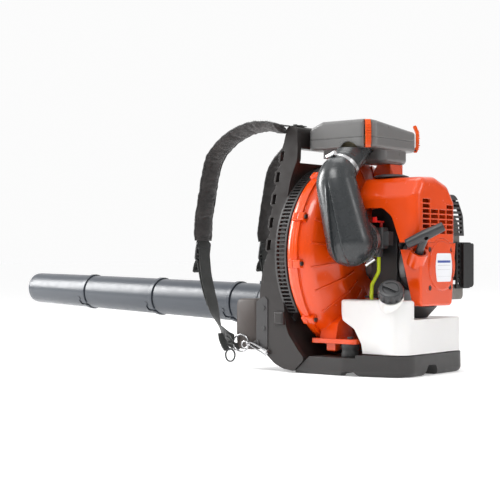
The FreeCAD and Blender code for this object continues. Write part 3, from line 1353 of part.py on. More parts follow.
# ---- write the sub-parts ------------------------------------------------
save("back_frame", back_frame())
save("base_plate", base_plate())
save("hip_brackets", *hip_brackets())
save("intake_grille", intake_grille())
save("fan_housing_front", fan_housing_front())
save("fan_housing_rear", fan_housing_rear())
save("av_mounts", *av_mounts())
save("fasteners", *rivets(), *grille_screws(), *housing_screws(), *av_screws(),
     *starter_screws(), *elbow_screws(), *latch_pins(), rope_guide())

save("fan_impeller", fan_impeller())
save("crankshaft", *crankshaft())
save("flywheel", flywheel())
save("crankcase", crankcase())
save("cylinder", cylinder())
save("piston_and_rod", piston(), connecting_rod(), *crank_pins())
save("ignition", ignition_coil(), spark_plug(), spark_plug_boot())
save("carburetor", carburetor())
save("choke_lever", choke_lever())
save("engine_baffle", engine_baffle(), intake_manifold(), lower_shroud())
save("muffler", *muffler())
save("muffler_guard", muffler_guard())
save("heat_plate", heat_plate())

save("engine_cover", engine_cover())
save("cover_cap", cover_cap())
save("starter_cover", starter_cover())
save("nameplate", nameplate())
save("starter_pulley", starter_pulley())
save("starter_rope", starter_rope())
save("starter_handle", starter_handle())

save("fuel_tank", fuel_tank())
save("cap_gasket", cap_gasket())
save("fuel_cap", fuel_cap())
save("fuel_hose", fuel_hose())

save("intake_duct", intake_duct())
save("filter_neck", filter_neck())
save("filter_base", filter_base())
save("filter_element", filter_element())
save("filter_cover", filter_cover())
save("filter_latch_left", filter_latch(0))
save("filter_latch_right", filter_latch(1))
save("filter_bracket", filter_bracket())

save("outlet_elbow", outlet_elbow())
save("hose_clamps", *duct_clamps(), bellows_clamp(-111, 46.2))
save("bellows_rear", bellows_rear())
save("bellows_ring", bellows_ring())
save("bellows_front", bellows_front())
save("bellows_clamp", bellows_clamp(-232, 49.2))
save("swivel_pipe", swivel_pipe())
save("tube_rear", tube_rear())
save("tube_front", tube_front())
save("nozzle", nozzle())

save("handle_clamp", handle_clamp(), clamp_knob())
save("handle_grip", handle_grip())
save("throttle_trigger", throttle_trigger())
save("cruise_lever", cruise_lever())
save("stop_switch", stop_switch())

save("shoulder_pad_left", shoulder_pad())
save("shoulder_pad_right", moved(mirror_y(shoulder_pad()), 0, -RIGHT_STRAP_IN, 0))
save("strap_webs", strap_web(), moved(mirror_y(strap_web()), 0, -RIGHT_STRAP_IN, 0))
save("harness_buckles", strap_buckle(), moved(mirror_y(strap_buckle()), 0, -RIGHT_STRAP_IN, 0),
     d_ring(), mirror_y(d_ring()))
save("back_pads", hip_pad(), back_pad(), mirror_y(back_pad()))
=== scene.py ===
import math

import bmesh
import bpy
from mathutils import Matrix, Vector, noise
from mathutils.bvhtree import BVHTree


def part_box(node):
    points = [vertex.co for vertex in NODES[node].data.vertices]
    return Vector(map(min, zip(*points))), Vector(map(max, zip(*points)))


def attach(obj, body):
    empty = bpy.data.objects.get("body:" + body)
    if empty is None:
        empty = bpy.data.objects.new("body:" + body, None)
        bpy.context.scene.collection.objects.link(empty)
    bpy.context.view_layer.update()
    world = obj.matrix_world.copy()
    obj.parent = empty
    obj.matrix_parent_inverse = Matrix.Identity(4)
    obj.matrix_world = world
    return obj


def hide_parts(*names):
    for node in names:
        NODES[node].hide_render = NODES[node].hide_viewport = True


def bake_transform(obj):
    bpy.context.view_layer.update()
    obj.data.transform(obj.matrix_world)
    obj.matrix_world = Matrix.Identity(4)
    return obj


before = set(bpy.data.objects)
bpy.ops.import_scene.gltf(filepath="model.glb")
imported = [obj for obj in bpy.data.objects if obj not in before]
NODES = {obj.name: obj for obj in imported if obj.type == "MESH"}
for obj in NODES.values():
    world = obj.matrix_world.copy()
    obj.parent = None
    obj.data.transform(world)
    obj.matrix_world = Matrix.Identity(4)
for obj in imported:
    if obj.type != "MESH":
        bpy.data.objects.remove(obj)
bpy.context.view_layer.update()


# ---- materials ----------------------------------------------------------
def new_material(name):
    mat = bpy.data.materials.new(name)
    mat.use_nodes = True
    tree = mat.node_tree
    tree.nodes.clear()
    out = tree.nodes.new("ShaderNodeOutputMaterial")
    shader = tree.nodes.new("ShaderNodeBsdfPrincipled")
    tree.links.new(shader.outputs[0], out.inputs[0])
    return mat, tree, shader


def add(tree, kind, inputs=None, **props):
    """New node with its properties set and its inputs set or linked."""
    node = tree.nodes.new(kind)
    for key, value in props.items():
        setattr(node, key, value)
    for key, value in (inputs or {}).items():
        if isinstance(value, bpy.types.NodeSocket):
            tree.links.new(value, node.inputs[key])
        else:
            node.inputs[key].default_value = value
    return node


def mix(tree, factor, a, b, mode="MIX"):
    """Colour mix; a, b and factor are values or sockets."""
    node = tree.nodes.new("ShaderNodeMix")
    node.data_type = "RGBA"
    node.blend_type = mode
    for index, value in ((0, factor), (6, a), (7, b)):
        if isinstance(value, bpy.types.NodeSocket):
            tree.links.new(value, node.inputs[index])
        elif index == 0:
            node.inputs[0].default_value = value
        else:
            node.inputs[index].default_value = (*value, 1.0)
    return node.outputs[2]


def ramp(tree, value, low, high, to_low=0.0, to_high=1.0):
    """Value mapped from low..high to to_low..to_high and held there."""
    node = add(tree, "ShaderNodeMapRange", {"Value": value, "From Min": low, "From Max": high,
                                            "To Min": to_low, "To Max": to_high})
    return node.outputs[0]


def scaled_noise(tree, coords, scale, detail=3.0):
    return add(tree, "ShaderNodeTexNoise",
               {"Vector": coords, "Scale": scale, "Detail": detail}).outputs[0]


def math_node(tree, operation, a, b=0.0):
    """Result of one maths node; a and b are values or sockets."""
    node = tree.nodes.new("ShaderNodeMath")
    node.operation = operation
    for index, value in ((0, a), (1, b)):
        if isinstance(value, bpy.types.NodeSocket):
            tree.links.new(value, node.inputs[index])
        else:
            node.inputs[index].default_value = value
    return node.outputs[0]


def edge_mask(tree, radius):
    """1 along sharp outer edges, 0 on flat faces, and the softened normal."""
    soft = add(tree, "ShaderNodeBevel", {"Radius": radius}, samples=4)
    true = add(tree, "ShaderNodeNewGeometry").outputs["True Normal"]
    dot = tree.nodes.new("ShaderNodeVectorMath")
    dot.operation = "DOT_PRODUCT"
    tree.links.new(soft.outputs[0], dot.inputs[0])
    tree.links.new(true, dot.inputs[1])
    return ramp(tree, dot.outputs["Value"], 0.995, 0.9), soft.outputs[0]


def plastic(name, color, rough, grain=1400.0, bump=0.05, coat=0.0, wear_and_highlight=None, wear_and_highlight_amount=0.25,
            mottle=0.12, edge=0.0006, subsurface=0.0, metallic=0.0, dust=None, dust_top=0.0):
    """Moulded plastic or cast metal: fine grain, soft edges, lightened edges and colour drift;
    the lightened edges are scuffing, and on the filter cover partly a painted highlight.
    """
    mat, tree, shader = new_material(name)
    coords = add(tree, "ShaderNodeTexCoord").outputs["Object"]
    drift = scaled_noise(tree, coords, 9.0)
    fine = scaled_noise(tree, coords, grain, 2.0)
    patch_noise = scaled_noise(tree, coords, 60.0, 6.0)
    dark = tuple(c * (1 - mottle) for c in color)
    light = tuple(min(1.0, c * (1 + mottle)) for c in color)
    base = mix(tree, drift, dark, light)
    mask, soft_normal = edge_mask(tree, edge)
    # Edges lightened towards the given colour: scuffing, and on the filter cover also a painted
    # highlight.
    if wear_and_highlight:
        amount = math_node(tree, "MULTIPLY", mask, ramp(tree, patch_noise, 0.42, 0.62, 0.0, wear_and_highlight_amount))
        base = mix(tree, amount, base, wear_and_highlight)
    if dust:
        up = add(tree, "ShaderNodeSeparateXYZ",
                 {0: add(tree, "ShaderNodeNewGeometry").outputs["Normal"]}).outputs[2]
        film = math_node(tree, "MULTIPLY", ramp(tree, up, 0.2, 1.0, 0.0, dust_top),
                         ramp(tree, patch_noise, 0.3, 0.7, 0.5, 1.0))
        base = mix(tree, film, base, dust)
    tree.links.new(base, shader.inputs["Base Color"])
    tree.links.new(ramp(tree, patch_noise, 0.3, 0.75, rough - 0.05, rough + 0.07),
                   shader.inputs["Roughness"])
    height = add(tree, "ShaderNodeBump", {"Strength": bump, "Distance": 0.0002, "Height": fine,
                                          "Normal": soft_normal})
    tree.links.new(height.outputs[0], shader.inputs["Normal"])
    shader.inputs["Metallic"].default_value = metallic
    shader.inputs["Coat Weight"].default_value = coat
    shader.inputs["Coat Roughness"].default_value = 0.08
    if subsurface:
        shader.inputs["Subsurface Weight"].default_value = subsurface
        shader.inputs["Subsurface Radius"].default_value = (0.006, 0.006, 0.005)
        shader.inputs["Subsurface Scale"].default_value = 1.0
    return mat


def metal(name, color, rough, streak=0.25, edge=0.0003):
    """Bare metal with fine streaks and light staining."""
    mat, tree, shader = new_material(name)
    coords = add(tree, "ShaderNodeTexCoord").outputs["Object"]
    streaks = scaled_noise(tree, coords, 700.0, 4.0)
    stain = scaled_noise(tree, coords, 35.0, 5.0)
    dark = tuple(c * (1 - streak) for c in color)
    base = mix(tree, streaks, dark, color)
    base = mix(tree, ramp(tree, stain, 0.5, 0.75, 0.0, 0.35), base, tuple(c * 0.6 for c in color))
    tree.links.new(base, shader.inputs["Base Color"])
    tree.links.new(ramp(tree, stain, 0.3, 0.7, rough - 0.06, rough + 0.12),
                   shader.inputs["Roughness"])
    soft_normal = edge_mask(tree, edge)[1]
    height = add(tree, "ShaderNodeBump", {"Strength": 0.12, "Distance": 0.0001,
                                          "Height": streaks, "Normal": soft_normal})
    tree.links.new(height.outputs[0], shader.inputs["Normal"])
    shader.inputs["Metallic"].default_value = 1.0
    return mat


def woven(name, dark, light, pitch, twill=1.0, bump=0.5, sheen=0.3, blotch=0.5, rough=0.8):
    """Woven cloth on a UV map in metres: crossing threads, with faded blotches."""
    mat, tree, shader = new_material(name)
    uv = add(tree, "ShaderNodeUVMap", uv_map="weave").outputs[0]
    coords = add(tree, "ShaderNodeTexCoord").outputs["Object"]
    wobble = scaled_noise(tree, coords, 160.0, 2.0)
    split = add(tree, "ShaderNodeSeparateXYZ", {0: uv})
    turns = 2 * math.pi / pitch
    across = math_node(tree, "MULTIPLY", split.outputs[0], turns)
    down = math_node(tree, "MULTIPLY", split.outputs[1], turns * twill)
    across = math_node(tree, "ADD", across, wobble)
    threads = math_node(tree, "MULTIPLY", math_node(tree, "SINE", across),
                        math_node(tree, "SINE", down))
    threads = ramp(tree, threads, -1.0, 1.0)
    fade = scaled_noise(tree, coords, 28.0, 5.0)
    base = mix(tree, threads, dark, light)
    base = mix(tree, ramp(tree, fade, 0.42, 0.62, 0.0, blotch), base,
               tuple(c * 1.7 for c in light))
    tree.links.new(base, shader.inputs["Base Color"])
    height = math_node(tree, "ADD", threads, math_node(tree, "MULTIPLY", fade, 1.2))
    relief = add(tree, "ShaderNodeBump", {"Strength": bump, "Distance": 0.0003,
                                          "Height": height})
    tree.links.new(relief.outputs[0], shader.inputs["Normal"])
    shader.inputs["Roughness"].default_value = rough
    shader.inputs["Sheen Weight"].default_value = sheen
    shader.inputs["Sheen Roughness"].default_value = 0.45
    return mat


ORANGE = plastic("orange_cover", (0.70, 0.058, 0.001), 0.22, grain=500, bump=0.02, coat=0.25,
                 mottle=0.04, edge=0.0022)
ORANGE_LATCH = plastic("orange_latch", (0.76, 0.085, 0.002), 0.34, bump=0.04, mottle=0.05)
FRAME = plastic("frame_grey", (0.021, 0.018, 0.0172), 0.33, grain=900, bump=0.12,
                wear_and_highlight=(0.13, 0.125, 0.12), wear_and_highlight_amount=0.4, dust=(0.14, 0.135, 0.13), dust_top=0.10)
BASE = plastic("base_grey", (0.027, 0.0255, 0.025), 0.36, grain=900, bump=0.14,
               wear_and_highlight=(0.18, 0.17, 0.16), wear_and_highlight_amount=0.55, dust=(0.16, 0.15, 0.14), dust_top=0.15)
GRILLE = plastic("grille_grey", (0.04, 0.039, 0.039), 0.42, bump=0.1, wear_and_highlight=(0.2, 0.2, 0.19))
TUBE = plastic("tube_slate", (0.034, 0.040, 0.050), 0.33, grain=1100, bump=0.08,
               wear_and_highlight=(0.16, 0.17, 0.19), wear_and_highlight_amount=0.4, mottle=0.07)
# Its wide 4 mm edge radius spreads the lightened edges into a painted highlight, on top of real
# edge scuffing.
FILTER = plastic("filter_grey", (0.150, 0.149, 0.147), 0.32, grain=1000, bump=0.12,
                 wear_and_highlight=(0.3, 0.3, 0.3), wear_and_highlight_amount=0.2, mottle=0.06, edge=0.0040)
DUCT = plastic("duct_charcoal", (0.026, 0.029, 0.031), 0.27, grain=700, bump=0.08, mottle=0.08)
BLACK = plastic("moulded_black", (0.018, 0.018, 0.019), 0.42, bump=0.12, wear_and_highlight=(0.12, 0.12, 0.12))
KNOB = plastic("knob_grey", (0.03, 0.031, 0.033), 0.38, grain=800, bump=0.15,
               wear_and_highlight=(0.2, 0.2, 0.2), wear_and_highlight_amount=0.35)
GUARD = plastic("guard_grey", (0.036, 0.035, 0.036), 0.45, bump=0.14, wear_and_highlight=(0.17, 0.17, 0.16))
RUBBER = plastic("rubber", (0.02, 0.02, 0.02), 0.62, grain=500, bump=0.2, mottle=0.2)
TANK = plastic("tank_white", (0.76, 0.755, 0.74), 0.34, grain=260, bump=0.05, mottle=0.035,
               subsurface=0.3, edge=0.0015)
SOOT = plastic("soot_black", (0.006, 0.0058, 0.006), 0.5, bump=0.1, wear_and_highlight=(0.06, 0.06, 0.06))
RED = plastic("lever_red", (0.7, 0.015, 0.01), 0.32, coat=0.3, mottle=0.05)
SCORCHED = metal("muffler_steel", (0.3, 0.28, 0.26), 0.5)
STEEL = metal("zinc_steel", (0.55, 0.55, 0.56), 0.3)
# Steel darkened far below bare metal: painted shade standing in for the dark recesses that the
# fasteners sit in.
SHADE_DARKENED_STEEL = metal("blackened_steel", (0.10, 0.10, 0.10), 0.38)
CLAMP_BAND = metal("clamp_band", (0.72, 0.72, 0.73), 0.24, streak=0.2)
BRIGHT = metal("bright_steel", (0.50, 0.50, 0.51), 0.16, streak=0.15)
CAST = plastic("cast_alloy", (0.2, 0.2, 0.205), 0.5, grain=420, bump=0.35, mottle=0.15,
               metallic=0.8)
CARB = plastic("carburetor_alloy", (0.09, 0.09, 0.092), 0.45, grain=420, bump=0.3, mottle=0.2,
               metallic=0.6)
WEBBING = woven("webbing", (0.012, 0.013, 0.012), (0.035, 0.037, 0.035), 0.0022, twill=0.5,
                bump=0.9, sheen=0.25, blotch=0.25)
PAD = woven("pad_cloth", (0.014, 0.012, 0.012), (0.032, 0.028, 0.027), 0.0016, bump=0.7,
            blotch=0.55)
BINDING = woven("binding_tape", (0.012, 0.011, 0.011), (0.03, 0.028, 0.028), 0.0012, bump=0.6,
                blotch=0.15)
VINYL = plastic("hip_vinyl", (0.046, 0.036, 0.032), 0.55, grain=350, bump=0.5, mottle=0.18)
PAPER = plastic("filter_paper", (0.7, 0.62, 0.42), 0.8, bump=0.3)
ROPE = woven("rope_braid", (0.35, 0.35, 0.33), (0.75, 0.75, 0.7), 0.0016, bump=0.8, sheen=0.1)


def hose_material():
    mat, tree, shader = new_material("fuel_hose_yellow")
    coords = add(tree, "ShaderNodeTexCoord").outputs["Object"]
    drift = scaled_noise(tree, coords, 80.0)
    base = mix(tree, drift, (0.5, 0.62, 0.012), (0.68, 0.8, 0.03))
    tree.links.new(base, shader.inputs["Base Color"])
    shader.inputs["Roughness"].default_value = 0.22
    shader.inputs["Subsurface Weight"].default_value = 0.3
    shader.inputs["Subsurface Radius"].default_value = (0.002, 0.002, 0.0005)
    return mat


LABEL_WHITE = (0.8, 0.81, 0.84)
LABEL_INSET = 0.006
# Bottom and top of each bar, up from the plate's middle, and its colour.
LABEL_BARS = [(0.009, 0.0135, (0.03, 0.07, 0.33)), (0.004, 0.0046, (0.2, 0.2, 0.22)),
              (-0.004, -0.0034, (0.45, 0.45, 0.47)), (-0.017, -0.0166, (0.45, 0.45, 0.47))]


def label_material():
    """White plate with an abstract blue bar and thin grey rules; nothing is written on it."""
    mat, tree, shader = new_material("plain_plate")
    coords = add(tree, "ShaderNodeTexCoord").outputs["Object"]
    split = add(tree, "ShaderNodeSeparateXYZ", {0: coords})
    low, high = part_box("nameplate")
    middle = (low.z + high.z) / 2
    left = math_node(tree, "GREATER_THAN", split.outputs[1], low.y + LABEL_INSET)
    right = math_node(tree, "LESS_THAN", split.outputs[1], high.y - LABEL_INSET)
    between = math_node(tree, "MULTIPLY", left, right)
    base = LABEL_WHITE
    for bottom, top, color in LABEL_BARS:
        above = math_node(tree, "GREATER_THAN", split.outputs[2], middle + bottom)
        below = math_node(tree, "LESS_THAN", split.outputs[2], middle + top)
        level = math_node(tree, "MULTIPLY", above, below)
        base = mix(tree, math_node(tree, "MULTIPLY", level, between), base, color)
    tree.links.new(base, shader.inputs["Base Color"])
    shader.inputs["Roughness"].default_value = 0.3
    shader.inputs["Coat Weight"].default_value = 0.3
    return mat


LOOKS = {
    "back_frame": FRAME, "base_plate": BASE, "hip_brackets": GUARD, "intake_grille": GRILLE,
    "fan_housing_front": ORANGE, "fan_housing_rear": ORANGE, "av_mounts": RUBBER,
    # The fasteners take the darkened steel, a painted recess shade on their heads.
    "fasteners": SHADE_DARKENED_STEEL, "fan_impeller": BLACK, "crankshaft": STEEL, "flywheel": CAST,
    "crankcase": CAST, "cylinder": CAST, "piston_and_rod": CAST, "ignition": BLACK,
    "carburetor": CARB, "choke_lever": RED, "engine_baffle": BLACK, "muffler": SCORCHED,
    "muffler_guard": GUARD, "heat_plate": SOOT, "engine_cover": ORANGE, "cover_cap": KNOB,
    "starter_cover": ORANGE, "nameplate": label_material(), "starter_pulley": BLACK,
    "starter_handle": KNOB, "fuel_tank": TANK, "cap_gasket": RUBBER, "fuel_cap": KNOB,
    "fuel_hose": hose_material(), "filter_neck": DUCT, "filter_base": FILTER,
    "filter_element": PAPER, "filter_cover": FILTER, "filter_latch_left": ORANGE_LATCH,
    "filter_latch_right": ORANGE_LATCH, "filter_bracket": ORANGE, "outlet_elbow": TUBE,
    "hose_clamps": CLAMP_BAND, "bellows_ring": RUBBER, "bellows_clamp": CLAMP_BAND,
    "swivel_pipe": TUBE, "tube_rear": TUBE, "tube_front": TUBE, "nozzle": TUBE,
    "handle_clamp": BLACK, "handle_grip": BLACK, "throttle_trigger": BLACK,
    "cruise_lever": BLACK, "stop_switch": RED,
}


def paint(obj, mat):
    obj.data.materials.clear()
    obj.data.materials.append(mat)


for node_name, look in LOOKS.items():
    paint(NODES[node_name], look)


# ---- mesh helpers -------------------------------------------------------
def mesh_object(name, verts, faces, mat, smooth=True):
    mesh = bpy.data.meshes.new(name)
    mesh.from_pydata([tuple(v) for v in verts], [], faces)
    mesh.validate()
    bm = bmesh.new()
    bm.from_mesh(mesh)
    bmesh.ops.recalc_face_normals(bm, faces=bm.faces)
    bm.to_mesh(mesh)
    bm.free()
    for poly in mesh.polygons:
        poly.use_smooth = smooth
    obj = bpy.data.objects.new(name, mesh)
    bpy.context.scene.collection.objects.link(obj)
    paint(obj, mat)
    return obj


CURVE_STEPS = 24


def smooth_line(points, step):
    """Evenly spaced points on a Catmull-Rom curve through the given ones."""
    pts = [Vector(p) for p in points]
    pts = [2 * pts[0] - pts[1]] + pts + [2 * pts[-1] - pts[-2]]
    dense = []
    for i in range(1, len(pts) - 2):
        p0, p1, p2, p3 = pts[i - 1:i + 3]
        for k in range(CURVE_STEPS):
            t = k / CURVE_STEPS
            dense.append(0.5 * (2 * p1 + (p2 - p0) * t + (2 * p0 - 5 * p1 + 4 * p2 - p3) * t * t
                                + (3 * p1 - p0 - 3 * p2 + p3) * t ** 3))
    dense.append(pts[-2])
    total = sum((b - a).length for a, b in zip(dense, dense[1:]))
    count = max(2, round(total / step))
    even = [dense[0]]
    target = total / count
    run = 0.0
    for a, b in zip(dense, dense[1:]):
        gap = (b - a).length
        while run + gap >= target * len(even) - 1e-9 and len(even) < count:
            even.append(a.lerp(b, (target * len(even) - run) / gap))
        run += gap
    even.append(dense[-1])
    return even


def frames_along(line, across):
    """(point, tangent, across, normal) at each point; across stays as near as it can."""
    result = []
    for i, p in enumerate(line):
        t = (line[min(i + 1, len(line) - 1)] - line[max(i - 1, 0)]).normalized()
        side = Vector(across(i / (len(line) - 1))) if callable(across) else Vector(across)
        side = (side - t * side.dot(t)).normalized()
        result.append((p, t, side, t.cross(side)))
    return result


def loft(name, rings, mat):
    """Closed skin over rings of equal length, with a UV map in metres."""
    n = len(rings[0])
    verts = [v for ring in rings for v in ring]
    faces = []
    for i in range(len(rings) - 1):
        for j in range(n):
            a = i * n + j
            b = i * n + (j + 1) % n
            faces.append((a, b, b + n, a + n))
    faces.append(tuple(range(n))[::-1])
    faces.append(tuple(range((len(rings) - 1) * n, len(rings) * n)))
    obj = mesh_object(name, verts, faces, mat)
    add_weave_map(obj, rings, n)
    return obj


def add_weave_map(obj, rings, n):
    """UV map whose u runs round the first ring and v runs along the rings, in metres."""
    down = [0.0]
    for a, b in zip(rings, rings[1:]):
        down.append(down[-1] + (Vector(b[0]) - Vector(a[0])).length)
    around = [0.0]
    for j in range(n):
        around.append(around[-1] + (Vector(rings[0][(j + 1) % n]) - Vector(rings[0][j])).length)
    layer = obj.data.uv_layers.new(name="weave")
    for poly in obj.data.polygons:
        cols = [obj.data.loops[k].vertex_index % n for k in poly.loop_indices]
        wraps = len(poly.loop_indices) == 4 and max(cols) - min(cols) > 1
        for k, col in zip(poly.loop_indices, cols):
            row = obj.data.loops[k].vertex_index // n
            if wraps and col == 0:
                col = n
            layer.data[k].uv = (around[col], down[row])


def circle(centre, radius, up, side, sides):
    """Points round a centre, from up towards side."""
    turns = [2 * math.pi * k / sides for k in range(sides)]
    return [centre + radius * (up * math.cos(a) + side * math.sin(a)) for a in turns]


def tube_along(name, line, radius, mat, sides=12):
    """Round tube along a line of points."""
    rings = []
    up = Vector((0.3, 0.8, 0.5))
    for i, p in enumerate(line):
        t = (line[min(i + 1, len(line) - 1)] - line[max(i - 1, 0)]).normalized()
        up = (up - t * up.dot(t)).normalized()
        rings.append(circle(p, radius, up, t.cross(up), sides))
    return loft(name, rings, mat)


def ring_tube(name, line, radius, mat, sides=10):
    """Round tube along a closed loop of points."""
    n = len(line)
    normal = sum(((a - line[0]).cross(b - line[0]) for a, b in zip(line[1:], line[2:])),
                 Vector()).normalized()
    verts = []
    for i, p in enumerate(line):
        t = (line[(i + 1) % n] - line[i - 1]).normalized()
        verts += circle(p, radius, normal, t.cross(normal), sides)
    faces = []
    for i in range(n):
        for k in range(sides):
            here, there = i * sides, (i + 1) % n * sides
            turned = (k + 1) % sides
            faces.append((here + k, here + turned, there + turned, there + k))
    return mesh_object(name, verts, faces, mat)


# ---- shoulder straps ----------------------------------------------------
STRAP_Y = -0.123          # the left strap's middle
RIGHT_SHIFT = 0.208       # from the left strap's middle to the right strap's
RING_Y = 0.147            # the harness rings, out from the middle

PAD_HALF = 0.0260
PAD_THICK = 0.0165
PAD_TWIST = 17.0          # degrees that the strap leans outward where it leaves the frame
PAD_CHANNELS = 9.0        # sewn channels along a shoulder pad
STITCH_INSET = 0.0058
BINDING_RADIUS = 0.0021

WEB_HALF = 0.0165
WEB_THICK = 0.0019
DRIFT_TOP = 0.135         # below this height the webbing drifts sideways to its ring
DRIFT_RUN = 0.080
TWIST_START = 0.42        # share of the webbing's length where it starts to turn on edge
TWIST_RUN = 0.45
TWIST_ANGLE = math.radians(78)

# Lines seen from the side, as (x, z) in millimetres.
PAD_LINE = [(-126, 478), (-150, 483), (-180, 485), (-210, 481), (-236, 473), (-262, 460),
            (-284, 443), (-302, 420), (-311, 395), (-318, 362), (-325, 327), (-331, 292),
            (-332, 258)]
WEB_LINE = [(-330, 262), (-329, 233), (-322, 183), (-308, 136), (-289, 101), (-266, 76),
            (-244, 61), (-229, 54)]
WEB_RETURN = [(-333, 262), (-337, 246), (-336, 226), (-331, 196), (-321, 160), (-310, 132),
              (-304, 122)]
WEB_TAIL = [(-331, 224), (-339, 216), (-344, 206), (-346, 196)]
WEB_TAIL_FOLD = [(-345, 199), (-346.5, 195), (-344, 193), (-342.5, 197)]

# Half of a ribbon's width and of its thickness are 1 here; the edges are rounded.
RIBBON_SECTION = ((-1, 0), (-0.97, 0.8), (-0.88, 1), (0, 1.05), (0.88, 1), (0.97, 0.8),
                  (1, 0), (0.97, -0.8), (0.88, -1), (0, -1.05), (-0.88, -1), (-0.97, -0.8))

BUCKLE_X = -0.333
BUCKLE_Z = 0.236
BUCKLE_TILT = 0.12
BUCKLE_HALF_WIDTH = 0.0205
BUCKLE_HALF_HEIGHT = 0.019
BUCKLE_WIRE = 0.0022
RUNG_WIRE = 0.0017
RUNG_HEIGHTS = (-0.006, 0.007)


def fixed(obj):
    """A piece that stays with the machine."""
    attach(obj, "machine")
    return obj


def side_view(line, y):
    return [(x / 1000, y, z / 1000) for x, z in line]


def ease(k):
    """0 to 1 with a level start and end; k is held in that range."""
    k = min(1.0, max(0.0, k))
    return k * k * (3 - 2 * k)


def drifted(line, y):
    """Strap points that move sideways to the harness ring near their lower end."""
    ring_y = math.copysign(RING_Y, y)
    points = []
    for x, _, z in side_view(line, y):
        k = ease((DRIFT_TOP - z) / DRIFT_RUN)
        points.append((x, y + (ring_y - y) * k, z))
    return points


def pad_section(half, thick, pinch, sides=28):
    """Crowned cushion section: full in the middle and drawn in at the sewn edges."""
    ring = []
    for k in range(sides):
        a = 2 * math.pi * k / sides
        c, s = math.cos(a), math.sin(a)
        across = half * math.copysign(abs(c) ** 0.8, c)
        fill = (1 - abs(across / half) ** 3.2) * (1 - pinch) + pinch
        ring.append((across, thick / 2 * math.copysign(abs(s) ** 0.75, s) * fill))
    return ring


def lean(places, sign):
    """Turns the sections about the strap's line, most where it leaves the frame."""
    turned = []
    for i, (p, t, side, normal) in enumerate(places):
        turn = math.radians(PAD_TWIST * max(0.0, 1 - 1.6 * i / (len(places) - 1)))
        rot = Matrix.Rotation(sign * turn, 3, t)
        turned.append((p, t, rot @ side, rot @ normal))
    return turned


def sway(s, seed, across):
    """Gathered edge of the sewn strap, moving sideways along its length."""
    slow = noise.noise(Vector((s * 11, seed, across * 40)))
    quick = noise.noise(Vector((s * 34, seed + 4, across * 40)))
    return 0.0026 * slow + 0.0017 * quick


def wrinkled(q, side, normal, s, across, seed):
    """A point of the pad's cloth, moved by creases, puckers and the gathered edge."""
    crease = noise.noise(Vector((q.x * 40 + seed, q.y * 26, q.z * 40)))
    pucker = noise.noise(Vector((s * 48, across * 150, seed)))
    return q + normal * (0.0022 * crease + 0.0019 * pucker) + side * sway(s, seed, across)


def shoulder_pad(name, y, seed, mirrored):
    """Quilted pad with bound edges and a row of stitches along each side."""
    line = smooth_line(side_view(PAD_LINE, y), 0.0028)
    places = lean(frames_along(line, (0, 1, 0)), -1 if mirrored else 1)
    rings = []
    rims = ([], [])
    for i, (p, t, side, normal) in enumerate(places):
        s = i / (len(places) - 1)
        from_end = min(s, 1 - s)
        half = PAD_HALF * min(1.0, 0.93 + 2.5 * from_end)
        channel = 0.5 + 0.5 * math.cos(2 * math.pi * (s * PAD_CHANNELS + 0.15))
        thick = PAD_THICK * min(1.0, 0.8 + 6.0 * from_end) * (1 - 0.20 * channel ** 14)
        rings.append([wrinkled(p + side * across + normal * out, side, normal, s, across, seed)
                      for across, out in pad_section(half, thick, 0.28)])
        for rim, sign in zip(rims, (-1, 1)):
            rim.append(p + side * (sign * (half - 0.0006) + sway(s, seed, sign * half))
                       + normal * 0.0016 * noise.noise(Vector((s * 30, seed, sign))))
    pad = loft(name, rings, PAD)
    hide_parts("shoulder_pad_right" if mirrored else "shoulder_pad_left")
    fixed(pad)
    for k, rim in enumerate(rims):
        fixed(tube_along(f"{name}_binding_{k}", rim, BINDING_RADIUS, BINDING, sides=10))
    stitches(name + "_stitching", places, PAD_HALF - STITCH_INSET, PAD_THICK * 0.5 * 0.72)


def stitches(name, places, across, out):
    """Rows of short raised thread along both long edges, on the outer face."""
    verts = []
    faces = []
    for sign in (-1, 1):
        for i in range(6, len(places) - 7, 2):
            p, t, side, normal = places[i]
            a = p + side * sign * across - normal * out
            corner = len(verts)
            for along, wide, high in ((-1, 0, 0), (0, -1, 0.4), (1, 0, 0), (0, 1, 0.4),
                                      (0, 0, 1)):
                verts.append(a + t * along * 0.0013 + side * wide * 0.0004
                             - normal * (high * 0.0006 - 0.0001))
            for u, v in ((0, 1), (1, 2), (2, 3), (3, 0)):
                faces.append((corner + u, corner + v, corner + 4))
            faces.append((corner, corner + 3, corner + 2, corner + 1))
    thread = mesh_object(name, verts, faces, BINDING, smooth=False)
    thread.data.uv_layers.new(name="weave")
    fixed(thread)


def ribbon(name, points, half, thick, seed, across=(0, 1, 0), step=0.003):
    """Flat woven strap with rounded edges."""
    line = smooth_line(points, step)
    rings = []
    for i, (p, t, side, normal) in enumerate(frames_along(line, across)):
        s = i / (len(line) - 1)
        ring = []
        for u, w in RIBBON_SECTION:
            ripple = 0.0009 * noise.noise(Vector((s * 9, u * 1.3, seed)))
            ring.append(p + side * half * u + normal * (thick / 2 * w + ripple))
        rings.append(ring)
    fixed(loft(name, rings, WEBBING))


